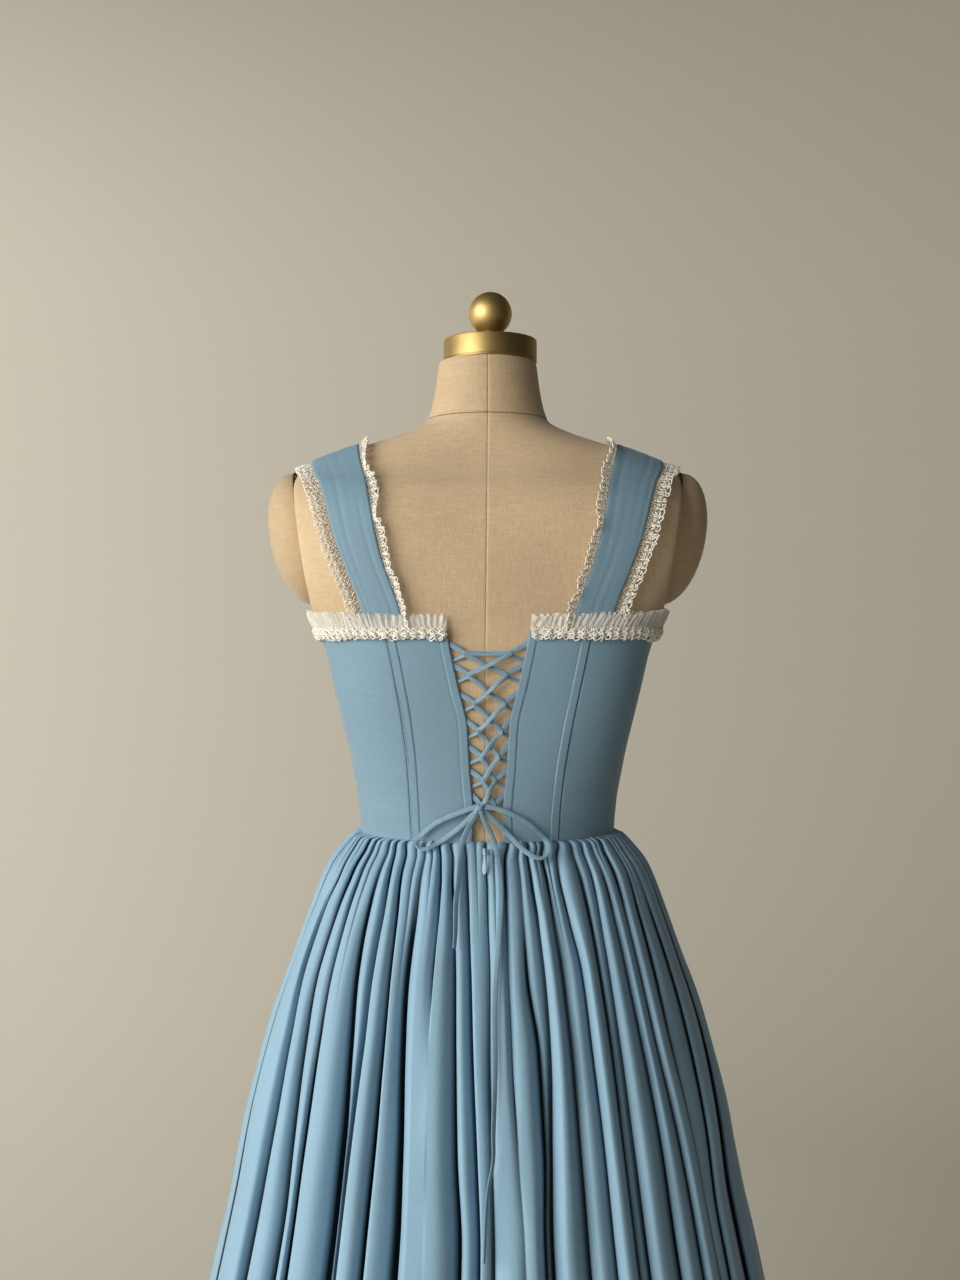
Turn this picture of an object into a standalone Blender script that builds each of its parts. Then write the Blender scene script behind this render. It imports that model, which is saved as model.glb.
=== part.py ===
"""Lace midi dress on a limbless dress form, in metres, +Z up.

The laced back faces -Y and the wearer's left is -X. The origin is the middle of
the base's underside. Angles run from the centre back (0 degrees) towards +X, so
90 degrees is the wearer's right side and 180 degrees is the centre front.
"""

import math

import bmesh
import bpy
from mathutils import Vector
from mathutils.bvhtree import BVHTree

# Heights of the dressed form
WAIST_Z = 1.0435
HEM_Z = 0.260
BODICE_TOP_Z = 1.225
FORM_BOTTOM_Z = 0.790
NECK_TOP_Z = 1.4695
ARM_PLATE_FROM_Z = 1.20

# Edges of the meshes stay sharp over this angle, in degrees
SHARP_ANGLE = 40

# Cloth and clearances
SEAM_GAP = 0.0003
STRAP_CLEARANCE = 0.0013
BODICE_CLEARANCE = 0.0014
BODICE_WALL = 0.0020
SKIRT_WALL = 0.0016
LACE_WALL = 0.0010
STRAP_WALL = 0.0016
BODICE_OUT = BODICE_CLEARANCE + BODICE_WALL

# The form's skin: height, half width, depth to the back, depth to the front, and how
# square the back is, where 2 is an ellipse
BODY = [
    (0.790, 0.1500, 0.1080, 0.1040, 2.00),
    (0.840, 0.1630, 0.1180, 0.1120, 2.00),
    (0.900, 0.1550, 0.1110, 0.1080, 2.00),
    (0.960, 0.1350, 0.0970, 0.0970, 2.00),
    (1.000, 0.1195, 0.0870, 0.0880, 2.00),
    (1.040, 0.1119, 0.0804, 0.0804, 2.00),
    (1.070, 0.1133, 0.0814, 0.0836, 2.35),
    (1.107, 0.1192, 0.0845, 0.0901, 2.80),
    (1.144, 0.1270, 0.0885, 0.0980, 3.20),
    (1.180, 0.1352, 0.0922, 0.1055, 3.40),
    (1.217, 0.1453, 0.0952, 0.1105, 3.40),
    (1.250, 0.1650, 0.0962, 0.1100, 3.30),
    (1.290, 0.1860, 0.0936, 0.1030, 3.20),
    (1.330, 0.1940, 0.0868, 0.0920, 2.90),
    (1.350, 0.1900, 0.0780, 0.0810, 2.60),
    (1.361, 0.1790, 0.0685, 0.0700, 2.35),
    (1.375, 0.1600, 0.0590, 0.0610, 2.15),
    (1.3925, 0.1150, 0.0520, 0.0540, 2.05),
    (1.4030, 0.0810, 0.0495, 0.0510, 2.00),
    (1.4158, 0.0555, 0.0480, 0.0490, 2.00),
    (1.440, 0.0485, 0.0460, 0.0465, 2.00),
    (1.4695, 0.0444, 0.0430, 0.0430, 2.00),
]

# Plane of the flat armhole side: half width at its reference height, and slope
ARM_PLANE_X = 0.1557
ARM_PLANE_Z = 1.249
ARM_PLANE_SLOPE = 0.160

# Two soft lobes of the bust on the front
BUST_RISE = 0.016
BUST_X = 0.066
BUST_Z = 1.200
BUST_SPREAD_X = 0.044
BUST_SPREAD_Z = 0.052

# Shoulder caps, finial, neck ring, pole and base
CAP_CENTRE_Z = 1.309
CAP_HALF_HEIGHT = 0.0600
CAP_HALF_DEPTH = 0.044
CAP_BULGE = 0.0325
CAP_CLEARANCE = 0.0005
CAP_SIDES = 20
RING_RADIUS = 0.0425
RING_HEIGHT = 0.0202
RING_ROUND = 0.0015
BRASS_OFF_CENTRE = 0.0025
BALL_RADIUS = 0.0197
BALL_CENTRE_Z = 1.5148
BALL_STEM_RADIUS = 0.0085
BALL_LATITUDES = (-64, -43, -22, -1, 19, 40, 61, 82)
POLE_RADIUS = 0.016
BASE_RADIUS = 0.180
BASE_THICKNESS = 0.012
BASE_BEVEL = 0.003
COLLAR = ((0.034, 0.001), (0.026, 0.012), (0.024, 0.045))

# Bodice seams: height and half width of the laced gap at the centre back
LACED_GAP = [
    (1.040, 0.0135),
    (1.070, 0.0128),
    (1.107, 0.0158),
    (1.144, 0.0180),
    (1.180, 0.0260),
    (1.217, 0.0335),
    (1.225, 0.0345),
]
SIDE_BACK_SEAM = 33.0
FRONT_SEAM = 138.0
BODICE_HEIGHTS = (WAIST_Z + SEAM_GAP, 1.070, 1.107, 1.144, 1.180, 1.203, BODICE_TOP_Z)

# Form and bodice share their facets, so that one lies evenly over the other
FACET = 9

# Skirt outline over the ridges: height, half width, half depth
SKIRT = [
    (0.260, 0.3350, 0.3250),
    (0.380, 0.3080, 0.2960),
    (0.500, 0.2820, 0.2680),
    (0.632, 0.2531, 0.2370),
    (0.741, 0.2292, 0.2110),
    (0.8144, 0.2142, 0.1940),
    (0.888, 0.1940, 0.1720),
    (0.9425, 0.1745, 0.1500),
    (0.979, 0.1610, 0.1340),
    (1.0157, 0.1460, 0.1140),
    (1.034, 0.1335, 0.0950),
    (1.0405, 0.1262, 0.0892),
    (1.0435, 0.1153, 0.0838),
]
SKIRT_HEIGHTS = (HEM_Z, 0.500, 0.680, 0.800, 0.885, 0.950, 0.995, 1.022, 1.036, WAIST_Z)
FOLD_SETTLES = 0.5
GATHER_FADES = 0.14
GATHER_SPREAD = 0.13
RIDGE_POWER = 0.62
RECESS_LIMIT = 0.85

# One row for each fold, named by the valley that it starts at: the valley's angle
# at the waist and from mid skirt down, its depth near the waist and at the hem,
# how far the ridge after it stays back from the outline, and the extra gather
# that splits that ridge at the waist. Angles in degrees, the rest in millimetres.
FOLDS = [
    ("side_left", -90.0, -86.0, 9, 26, 0, 4),
    ("left_1", -81.0, -75.0, 8, 24, 2, 0),
    ("left_2", -71.0, -63.4, 10, 34, 0, 4),
    ("left_3", -60.0, -48.6, 9, 16, 7, 0),
    ("left_4", -54.0, -44.4, 8, 22, 1, 4),
    ("left_5", -43.5, -34.5, 10, 30, 0, 3),
    ("left_6", -33.5, -26.6, 11, 34, 3, 0),
    ("left_7", -26.0, -19.3, 8, 20, 0, 4),
    ("left_8", -13.5, -6.2, 12, 32, 9, 0),
    ("left_9", -9.0, -2.6, 8, 20, 4, 0),
    ("zip", 0.0, 0.0, 4, 8, 1, 0),
    ("right_1", 5.0, 2.8, 5, 10, 0, 4),
    ("right_2", 11.0, 12.0, 12, 40, 7, 0),
    ("right_3", 19.7, 17.8, 9, 20, 0, 3),
    ("right_4", 25.2, 25.6, 10, 32, 2, 0),
    ("right_5", 33.0, 32.8, 10, 30, 7, 0),
    ("right_6", 45.5, 37.8, 10, 32, 0, 0),
    ("right_7", 49.5, 48.0, 8, 22, 3, 4),
    ("right_8", 67.0, 54.5, 11, 34, 2, 4),
    ("right_9", 80.0, 62.0, 12, 40, 0, 0),
    ("right_10", 85.0, 73.0, 8, 26, 0, 0),
    ("side_right", 90.0, 86.0, 8, 28, 0, 4),
    ("front_1", 99.0, 97.0, 9, 30, 0, 0),
    ("front_2", 110.0, 107.0, 10, 26, 1, 0),
    ("front_3", 121.0, 118.0, 9, 34, 0, 0),
    ("front_4", 131.0, 129.0, 8, 22, 2, 4),
    ("front_5", 142.0, 141.0, 11, 36, 0, 0),
    ("front_6", 152.0, 152.0, 9, 24, 1, 0),
    ("front_7", 163.0, 162.0, 10, 32, 0, 0),
    ("front_8", 174.0, 175.0, 8, 22, 2, 4),
    ("front_9", 185.0, 186.0, 11, 34, 0, 0),
    ("front_10", 196.0, 198.0, 9, 26, 1, 0),
    ("front_11", 207.0, 208.0, 10, 36, 0, 0),
    ("front_12", 217.0, 220.0, 8, 24, 2, 4),
    ("front_13", 228.0, 231.0, 11, 34, 0, 0),
    ("front_14", 240.0, 243.0, 9, 24, 1, 0),
    ("front_15", 251.0, 254.0, 10, 32, 0, 0),
    ("front_16", 261.0, 264.0, 8, 22, 1, 0),
]
PLAIN_STEPS = (0.0, 0.14, 0.38, 0.62, 0.86)
GATHERED_STEPS = (0.0, 0.12, 0.30, 0.50, 0.70, 0.88)
FEW_STEPS = (0.0, 0.20, 0.50, 0.80)
NARROW_FOLD = 8.0

# Fine skin that the straps are laid on
FINE_SIDES = 144
FINE_LOW_Z = 1.18
FINE_HIGH_Z = 1.43
FINE_ROWS = 60
RAY_START = 0.4

# Straps: angle round the shoulder, centre from the middle, half width
STRAP_CORE_Z = 1.260
STRAP_LOW_RAY = -13.0
STRAP_CLOSER_AT_TOP = 0.62
STRAP_END_Z = BODICE_TOP_Z + 2 * SEAM_GAP
STRAP = [
    (-23.0, 0.0860, 0.0166),
    (-11.0, 0.0906, 0.0164),
    (13.0, 0.1050, 0.0166),
    (27.0, 0.1125, 0.0176),
    (43.0, 0.1195, 0.0186),
    (58.0, 0.1265, 0.0198),
    (73.0, 0.1338, 0.0208),
    (90.0, 0.1380, 0.0212),
]
STRAP_STEPS = 24
STRAP_COLUMNS = 3
STRAP_LACE_OUTER = 0.0120
STRAP_LACE_INNER = 0.0085
STRAP_LACE_RIPPLE = 0.0022
LACE_OUT = STRAP_CLEARANCE + LACE_WALL
STRAP_OUT = LACE_OUT + SEAM_GAP * 2 + STRAP_WALL

# Neckline frill and its lace edging
EDGING_LOW_Z = 1.2165
EDGING_TOP_Z = 1.2285
EDGING_OUT = BODICE_OUT + SEAM_GAP + LACE_WALL
EDGING_WAVES = 26
EDGING_STEPS = 2
EDGING_RIPPLE = 0.0012
FRILL_LOW_Z = EDGING_TOP_Z + SEAM_GAP
FRILL_TOP_Z = 1.2420
FRILL_WAVES = 60
FRILL_STEPS = 3
FRILL_LOW_OUT = 0.0064
FRILL_TOP_OUT = 0.0084
FRILL_LOW_RIPPLE = 0.0006
FRILL_TOP_RIPPLE = 0.0024

# Lacing loops: height, left link and right link from the middle
LINKS = [
    (1.2050, -0.0191, 0.0183),
    (1.1870, -0.0157, 0.0149),
    (1.1626, -0.0106, 0.0130),
    (1.1397, -0.0070, 0.0104),
    (1.1176, -0.0048, 0.0078),
    (1.0972, -0.0036, 0.0054),
    (1.0760, -0.0044, 0.0044),
]
TAPE_WIDTH = 0.0034
TAPE_THICKNESS = 0.0011
RIBBON_WIDTH = 0.0034
RIBBON_THICKNESS = 0.0013
TAPE_OUT = 0.0022
UNDER_OUT = 0.0038
OVER_OUT = 0.0056
LINK_OUT = 0.0042
THROUGH_LOOP = 0.0012
TAPE_BEYOND_LOOPS = 0.0105
TAPE_INSET = SEAM_GAP + TAPE_WIDTH * 0.75
BAR_RISE = 0.0004
BAR_AT = (-0.010, 0.0, 0.010)
CROSSING_SHARES = (0.30, 0.70)
LACE_ENDS_APART = 0.0056
LACE_UNDER_KNOT = 0.0040
RIBBON_FACING = 0.5
MITRE_LIMIT = 0.45

# Bow: the knot's centre, and the loops' routes as distance from the middle and height
KNOT_X = -0.0082
KNOT_Z = 1.0710
KNOT_SIZE = (0.0095, 0.0080, 0.0110)
KNOT_ROUND = 0.0020
KNOT_SEAT = 0.0007
KNOT_OUT = LINK_OUT + RIBBON_THICKNESS / 2 + KNOT_SEAT + KNOT_SIZE[1] / 2
BOW_OUT = 0.0085
BOW_LIES_OUT = 0.0016
BOW_LOOKS_BELOW = 0.003
BOW_LEFT = [
    (-0.0085, 1.0742),
    (-0.0193, 1.0700),
    (-0.0426, 1.0610),
    (-0.0560, 1.0510),
    (-0.0610, 1.0440),
    (-0.0585, 1.0395),
    (-0.0520, 1.0395),
    (-0.0400, 1.0455),
    (-0.0228, 1.0570),
    (-0.0085, 1.0680),
]
BOW_RIGHT = [
    (-0.0080, 1.0742),
    (0.0060, 1.0722),
    (0.0200, 1.0680),
    (0.0365, 1.0590),
    (0.0490, 1.0465),
    (0.0516, 1.0385),
    (0.0475, 1.0335),
    (0.0400, 1.0335),
    (0.0290, 1.0400),
    (0.0170, 1.0520),
    (0.0060, 1.0615),
    (-0.0080, 1.0680),
]

# Lace tails: distance from the middle and height, from the knot to the free end
TAIL_RADIUS = 0.0018
TAIL_OUT = 0.0114
TAIL_STEP = 0.012
TAIL_LIES_OUT = 0.0031
TAIL_AHEAD_OUT = 0.0020
TAIL_LOOKS_BELOW = 0.004
TAIL_LEFT = [
    (-0.0102, 1.0650),
    (-0.0110, 1.0628),
    (-0.0165, 1.0590),
    (-0.0202, 1.0500),
    (-0.0232, 1.0380),
    (-0.0249, 1.0164),
    (-0.0268, 1.0006),
    (-0.0270, 0.9786),
    (-0.0278, 0.9666),
]
TAIL_RIGHT = [
    (-0.0062, 1.0650),
    (-0.0054, 1.0628),
    (-0.0015, 1.0590),
    (0.0030, 1.0510),
    (0.0070, 1.0391),
    (0.0096, 1.0234),
    (0.0103, 1.0038),
    (0.0090, 0.9830),
    (0.0077, 0.9657),
    (0.0049, 0.9283),
    (0.0048, 0.8771),
    (0.0035, 0.8337),
    (0.0033, 0.8145),
    (-0.0012, 0.7890),
    (-0.0034, 0.7511),
    (-0.0038, 0.7430),
]

# Zip slider and its teardrop pull, which lie on the skirt's slope below the seam
ZIP_X = -0.0030
SLIDER_SIZE = (0.0050, 0.0020, 0.0070)
SLIDER_ROUND = 0.0006
SLIDER_TOP_Z = 1.0390
PULL_LENGTH = 0.0230
PULL_WIDTH = 0.0046
PULL_THICKNESS = 0.0014
PULL_GAP = 0.0006
PULL_OVER_SLIDER = 0.0020
PULL_FLAT = 0.6
ZIP_FOLDS = (8, 9, 10, 11)
# Along the pull: share of its length, of its width and of its thickness
PULL_OUTLINE = [
    (0.00, 0.30, 0.5),
    (0.20, 0.42, 1.0),
    (0.50, 0.66, 1.0),
    (0.72, 0.98, 1.0),
    (0.86, 1.00, 1.0),
    (0.96, 0.66, 0.8),
    (1.00, 0.20, 0.5),
]

COLOURS = {
    "canvas": ((0.62, 0.49, 0.34, 1), 0.85, 0.0),
    "brass": ((0.55, 0.40, 0.17, 1), 0.38, 1.0),
    "iron": ((0.10, 0.09, 0.08, 1), 0.45, 0.6),
    "blue": ((0.31, 0.47, 0.60, 1), 0.60, 0.0),
    "lace": ((0.85, 0.80, 0.71, 1), 0.80, 0.0),
    "tulle": ((0.82, 0.79, 0.73, 1), 0.80, 0.0),
    "enamel": ((0.62, 0.74, 0.82, 1), 0.30, 0.0),
}


def smooth_row(rows, key):
    """The row at a key, from a table with its key first, on a curve without overshoot."""
    rows = sorted(rows)
    key = min(max(key, rows[0][0]), rows[-1][0])
    i = max(k for k in range(len(rows) - 1) if rows[k][0] <= key)
    step = rows[i + 1][0] - rows[i][0]
    f = (key - rows[i][0]) / step
    values = []
    for c in range(1, len(rows[0])):
        slopes = []
        for k in (i, i + 1):
            if k in (0, len(rows) - 1):
                j = min(k, len(rows) - 2)
                slopes.append((rows[j + 1][c] - rows[j][c]) / (rows[j + 1][0] - rows[j][0]))
                continue
            before = (rows[k][c] - rows[k - 1][c]) / (rows[k][0] - rows[k - 1][0])
            after = (rows[k + 1][c] - rows[k][c]) / (rows[k + 1][0] - rows[k][0])
            turning = before * after <= 0
            slopes.append(0.0 if turning else 2 * before * after / (before + after))
        h00 = 2 * f**3 - 3 * f**2 + 1
        h10 = f**3 - 2 * f**2 + f
        h11 = f**3 - f**2
        values.append(
            h00 * rows[i][c] + (1 - h00) * rows[i + 1][c]
            + h10 * step * slopes[0] + h11 * step * slopes[1]
        )
    return values


def arm_plane(z):
    """Half width of the flat armhole side."""
    if z < ARM_PLATE_FROM_Z:
        return math.inf
    return ARM_PLANE_X + (z - ARM_PLANE_Z) * ARM_PLANE_SLOPE


def skin(degrees, z, out=0.0):
    """A point on the form's skin, or that far outside it."""
    wide, back, front, square = smooth_row(BODY, z)
    t = math.radians(degrees)
    limit = arm_plane(z) + out
    x = max(-limit, min(limit, (wide + out) * math.sin(t)))
    if math.cos(t) >= 0:
        share = max(0.0, 1 - abs(math.sin(t)) ** square) ** (1 / square)
        return Vector((x, -(back + out) * share, z))
    across = (abs(x) - BUST_X) / BUST_SPREAD_X
    up = (z - BUST_Z) / BUST_SPREAD_Z
    bust = BUST_RISE * math.exp(-across * across - up * up) * -math.cos(t)
    return Vector((x, (front + out) * -math.cos(t) + bust, z))


def skin_angle(x, z, out=0.0):
    """The angle at which the back of the skin is that far from the middle."""
    wide = smooth_row(BODY, z)[0] + out
    return math.degrees(math.asin(x / wide))


def skirt_outline(z):
    """Half width and half depth of the skirt over its ridges."""
    return smooth_row(SKIRT, z)


def envelope(x, z):
    """The -Y surface of the dress, over the ridges, at a place of the back."""
    if z >= WAIST_Z:
        return skin(skin_angle(x, z, BODICE_OUT), z, BODICE_OUT).y
    wide, deep = skirt_outline(z)
    return -deep * math.sqrt(1 - (x / wide) ** 2)


def material(name):
    """A Principled material for a named finish."""
    colour, rough, metal = COLOURS[name]
    made = bpy.data.materials.new(name)
    made.use_nodes = True
    shader = made.node_tree.nodes["Principled BSDF"]
    shader.inputs["Base Color"].default_value = colour
    shader.inputs["Roughness"].default_value = rough
    shader.inputs["Metallic"].default_value = metal
    made.diffuse_color = colour
    return made


def add_object(name, mesh, finish):
    """A named object with a material of its own."""
    piece = bpy.data.objects.new(name, mesh)
    bpy.context.scene.collection.objects.link(piece)
    mesh.materials.append(material(finish))
    return piece


def add_mesh(name, points, faces, finish):
    """A shaded mesh object from points and faces."""
    mesh = bpy.data.meshes.new(name)
    mesh.from_pydata(points, [], faces)
    mesh.shade_smooth()
    mesh.set_sharp_from_angle(angle=math.radians(SHARP_ANGLE))
    return add_object(name, mesh, finish)


def solidify(piece, wall):
    """Gives a sheet its wall, inwards from the outer surface."""
    modifier = piece.modifiers.new("wall", "SOLIDIFY")
    modifier.thickness = wall
    modifier.offset = -1.0
    modifier.use_rim = True
    return piece


def add_sheet(name, rows, wall, finish):
    """A cloth wall through rows of outer points, each row from left to right."""
    across = len(rows[0])
    points = [point for row in rows for point in row]
    faces = []
    for r in range(len(rows) - 1):
        for c in range(across - 1):
            low = r * across + c
            faces.append((low, low + 1, low + across + 1, low + across))
    return solidify(add_mesh(name, points, faces, finish), wall)


def add_loft(name, rings, finish):
    """A closed solid through rings of points, capped flat at both ends."""
    count = len(rings[0])
    points = [point for ring in rings for point in ring]
    faces = [tuple(reversed(range(count)))]
    for r in range(len(rings) - 1):
        for c in range(count):
            low, high = r * count, (r + 1) * count
            after = (c + 1) % count
            faces.append((low + c, low + after, high + after, high + c))
    faces.append(tuple(range((len(rings) - 1) * count, len(rings) * count)))
    return add_mesh(name, points, faces, finish)


def circle(radius, z, sides, off_centre):
    """A ring of points round an upright axis."""
    return [
        Vector((off_centre + radius * math.cos(a), radius * math.sin(a), z))
        for a in (math.tau * k / sides for k in range(sides))
    ]


def add_turned(name, profile, sides, finish, off_centre=0.0):
    """A turned solid from (radius, height) pairs, bottom to top."""
    return add_loft(name, [circle(radius, z, sides, off_centre) for radius, z in profile], finish)


def torso_rings(sides, heights):
    """Rings of the form's skin."""
    return [[skin(360 * k / sides, z) for k in range(sides)] for z in heights]


def build_form():
    """Torso, caps, brass neck ring and finial, pole and base."""
    heights = sorted([row[0] for row in BODY] + list(BODICE_HEIGHTS[-2:]))
    add_loft("form_torso", torso_rings(360 // FACET, heights), "canvas")
    low = NECK_TOP_Z + SEAM_GAP
    high = low + RING_HEIGHT
    inner = RING_RADIUS - RING_ROUND
    ring = [
        (inner, low), (RING_RADIUS, low + RING_ROUND),
        (RING_RADIUS, high - RING_ROUND), (inner, high),
    ]
    add_turned("form_neck_ring", ring, 28, "brass", BRASS_OFF_CENTRE)
    ball = [(BALL_STEM_RADIUS, high + SEAM_GAP)]
    for degrees in BALL_LATITUDES:
        a = math.radians(degrees)
        ball.append((BALL_RADIUS * math.cos(a), BALL_CENTRE_Z + BALL_RADIUS * math.sin(a)))
    add_turned("form_finial", ball, 16, "brass", BRASS_OFF_CENTRE)
    rod_low = BASE_THICKNESS + COLLAR[-1][1] + SEAM_GAP
    pole = [(POLE_RADIUS, rod_low), (POLE_RADIUS, FORM_BOTTOM_Z - SEAM_GAP)]
    add_turned("form_pole", pole, 16, "brass")
    base = [
        (BASE_RADIUS, 0.0), (BASE_RADIUS, BASE_THICKNESS - BASE_BEVEL),
        (BASE_RADIUS - BASE_BEVEL, BASE_THICKNESS),
    ]
    base += [(radius, BASE_THICKNESS + rise) for radius, rise in COLLAR]
    add_turned("form_base", base, 32, "iron")
    for name, side in (("form_cap_left", -1), ("form_cap_right", 1)):
        build_cap(name, side)


def build_cap(name, side):
    """A padded cap over the flat armhole side, domed outwards."""
    rings = []
    for lift in (0, 22, 44, 64, 80):
        size = math.cos(math.radians(lift))
        bulge = CAP_BULGE * math.sin(math.radians(lift))
        ring = []
        for k in range(CAP_SIDES):
            a = side * math.tau * k / CAP_SIDES
            z = CAP_CENTRE_Z + CAP_HALF_HEIGHT * size * math.cos(a)
            y = -CAP_HALF_DEPTH * size * math.sin(a)
            ring.append(Vector((side * (arm_plane(z) + CAP_CLEARANCE + bulge), y, z)))
        rings.append(ring)
    add_loft(name, rings, "canvas")


def gap_angle(z, side):
    """The laced edge of a back panel."""
    return side * skin_angle(smooth_row(LACED_GAP, z)[0], z, BODICE_OUT)


def seam_step(z):
    """Half a seam's gap as an angle."""
    return math.degrees(SEAM_GAP / 2 / smooth_row(BODY, z)[1])


def add_bodice_panel(name, left, between, right):
    """A bodice panel between two edges, given as angles at a height, through facets."""
    rows = []
    for z in BODICE_HEIGHTS:
        stations = [left(z), *between, right(z)]
        rows.append([skin(degrees, z, BODICE_OUT) for degrees in stations])
    add_sheet(name, rows, BODICE_WALL, "blue")


def build_bodice():
    """Two back panels beside the laced gap, two side panels and the front."""
    side_facets = range(36, 137, FACET)
    add_bodice_panel(
        "bodice_back_left",
        lambda z: -SIDE_BACK_SEAM + seam_step(z), (-3 * FACET, -2 * FACET),
        lambda z: gap_angle(z, -1),
    )
    add_bodice_panel(
        "bodice_back_right",
        lambda z: gap_angle(z, 1), (2 * FACET, 3 * FACET),
        lambda z: SIDE_BACK_SEAM - seam_step(z),
    )
    add_bodice_panel(
        "bodice_side_left",
        lambda z: -FRONT_SEAM + seam_step(z),
        [-degrees for degrees in reversed(side_facets)],
        lambda z: -SIDE_BACK_SEAM - seam_step(z),
    )
    add_bodice_panel(
        "bodice_side_right",
        lambda z: SIDE_BACK_SEAM + seam_step(z), side_facets, lambda z: FRONT_SEAM - seam_step(z),
    )
    add_bodice_panel(
        "bodice_front",
        lambda z: FRONT_SEAM + seam_step(z),
        range(144, 217, FACET),
        lambda z: 360 - FRONT_SEAM - seam_step(z),
    )


def dense_skin():
    """A fine copy of the form's skin, for laying the straps on."""
    step = (FINE_HIGH_Z - FINE_LOW_Z) / FINE_ROWS
    rings = torso_rings(FINE_SIDES, [FINE_LOW_Z + step * k for k in range(FINE_ROWS + 1)])
    points = [point for ring in rings for point in ring]
    faces = []
    for r in range(FINE_ROWS):
        low, high = r * FINE_SIDES, (r + 1) * FINE_SIDES
        for c in range(FINE_SIDES):
            after = (c + 1) % FINE_SIDES
            faces.append((low + c, low + after, high + after, high + c))
    return BVHTree.FromPolygons(points, faces)


def strap_row(degrees):
    """Centre and half width of a strap at an angle round the shoulder."""
    return smooth_row(STRAP, min(degrees, 180 - degrees))


def shoulder_rays():
    """Angles round the shoulder, closer at its top, and infinite for the two ends."""
    reach = 90 - STRAP_LOW_RAY
    rays = []
    for r in range(STRAP_STEPS - 1):
        f = 2 * r / (STRAP_STEPS - 2) - 1
        rays.append(90 + reach * (STRAP_CLOSER_AT_TOP * f + (1 - STRAP_CLOSER_AT_TOP) * f**3))
    return [-math.inf, *rays, math.inf]


def on_shoulder(tree, side, x, degrees, out):
    """A point outside the form's skin, at an angle round the shoulder's core."""
    if math.isinf(degrees):
        around = skin_angle(side * x, STRAP_END_Z)
        return skin(around if degrees < 0 else 180 - around, STRAP_END_Z, out)
    a = math.radians(degrees)
    core = Vector((side * x, 0.0, STRAP_CORE_Z))
    away = Vector((0.0, -math.cos(a), math.sin(a)))
    hit, normal = tree.ray_cast(core + away * RAY_START, -away)[:2]
    return hit + normal * out


def shoulder_rows(tree, side, places, out):
    """Rows of points over the shoulder, from the back's top edge to the front's."""
    rows = []
    for r, degrees in enumerate(shoulder_rays()):
        centre, half = strap_row(degrees)
        row = []
        for share, beyond in places[::-side]:
            x = centre + half * share + beyond
            lift = STRAP_LACE_RIPPLE * (r % 2) if beyond else 0.0
            row.append(on_shoulder(tree, side, x, degrees, out + lift))
        rows.append(row)
    return rows


def build_strap(tree, name, side):
    """A strap, over a lace band with rippled edges that show on both sides of it."""
    under = [(1 - 2 * c / STRAP_COLUMNS, 0.0) for c in range(STRAP_COLUMNS + 1)]
    band = [(1.0, STRAP_LACE_OUTER), *under, (-1.0, -STRAP_LACE_INNER)]
    strap = shoulder_rows(tree, side, under, STRAP_OUT)
    lace = shoulder_rows(tree, side, band, LACE_OUT)
    add_sheet("strap_" + name, strap, STRAP_WALL, "blue")
    add_sheet("strap_lace_" + name, lace, LACE_WALL, "lace")


def neckline_strip(waves, steps, heights, outs, ripples):
    """Rows of a rippled strip round the neckline, open at the laced gap."""
    start = gap_angle(BODICE_TOP_Z, 1)
    count = waves * steps
    rows = []
    for z, out, ripple in zip(heights, outs, ripples):
        row = []
        for k in range(count + 1):
            lift = out + ripple * math.cos(math.tau * k / steps)
            row.append(skin(start + (360 - 2 * start) * k / count, z, lift))
        rows.append(row)
    return rows


def build_neckline():
    """The gathered tulle frill and the lace edging over its seam."""
    frill = neckline_strip(
        FRILL_WAVES, FRILL_STEPS, (FRILL_LOW_Z, FRILL_TOP_Z),
        (FRILL_LOW_OUT, FRILL_TOP_OUT), (FRILL_LOW_RIPPLE, FRILL_TOP_RIPPLE),
    )
    add_sheet("tulle_frill", frill, LACE_WALL, "tulle")
    low_out = EDGING_OUT + EDGING_RIPPLE
    edging = neckline_strip(
        EDGING_WAVES, EDGING_STEPS, (EDGING_LOW_Z, EDGING_TOP_Z),
        (low_out + EDGING_RIPPLE, FRILL_LOW_OUT), (EDGING_RIPPLE, 0.0),
    )
    add_sheet("lace_edging", edging, LACE_WALL, "lace")


def fold_depth(fold, following, v, u):
    """How far the cloth lies inside the outline, at a place across a fold and down it."""
    depths = [
        (row[3] + (row[4] - row[3]) * u) / 1000 for row in (fold, following)
    ]
    valley = depths[0] * (1 - v) + depths[1] * v
    ridge = math.sin(math.pi * v) ** RIDGE_POWER
    crest = fold[5] / 1000 * u
    fade = max(0.0, 1 - u / GATHER_FADES)
    gather = fold[6] / 1000 * fade * math.exp(-(((v - 0.5) / GATHER_SPREAD) ** 2))
    return valley * (1 - ridge) + crest * ridge + gather


def skirt_point(index, v, z, shift=0.0):
    """A point of the skirt's outside, a share of the way across a fold."""
    fold = FOLDS[index]
    following = FOLDS[(index + 1) % len(FOLDS)]
    u = (WAIST_Z - z) / (WAIST_Z - HEM_Z)
    blend = max(0.0, 1 - u / FOLD_SETTLES) ** 2
    turn = 360 if index == len(FOLDS) - 1 else 0
    start = fold[2] + (fold[1] - fold[2]) * blend
    end = following[2] + (following[1] - following[2]) * blend + turn
    wide, deep = skirt_outline(z)
    t = math.radians(start + (end - start) * v) + shift / wide
    puff = deep - skirt_outline(WAIST_Z)[1]
    depth = min(fold_depth(fold, following, v, u), RECESS_LIMIT * puff)
    normal = Vector((math.sin(t) / wide, -math.cos(t) / deep, 0.0)).normalized()
    return Vector((wide * math.sin(t), -deep * math.cos(t), z)) - normal * depth


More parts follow.
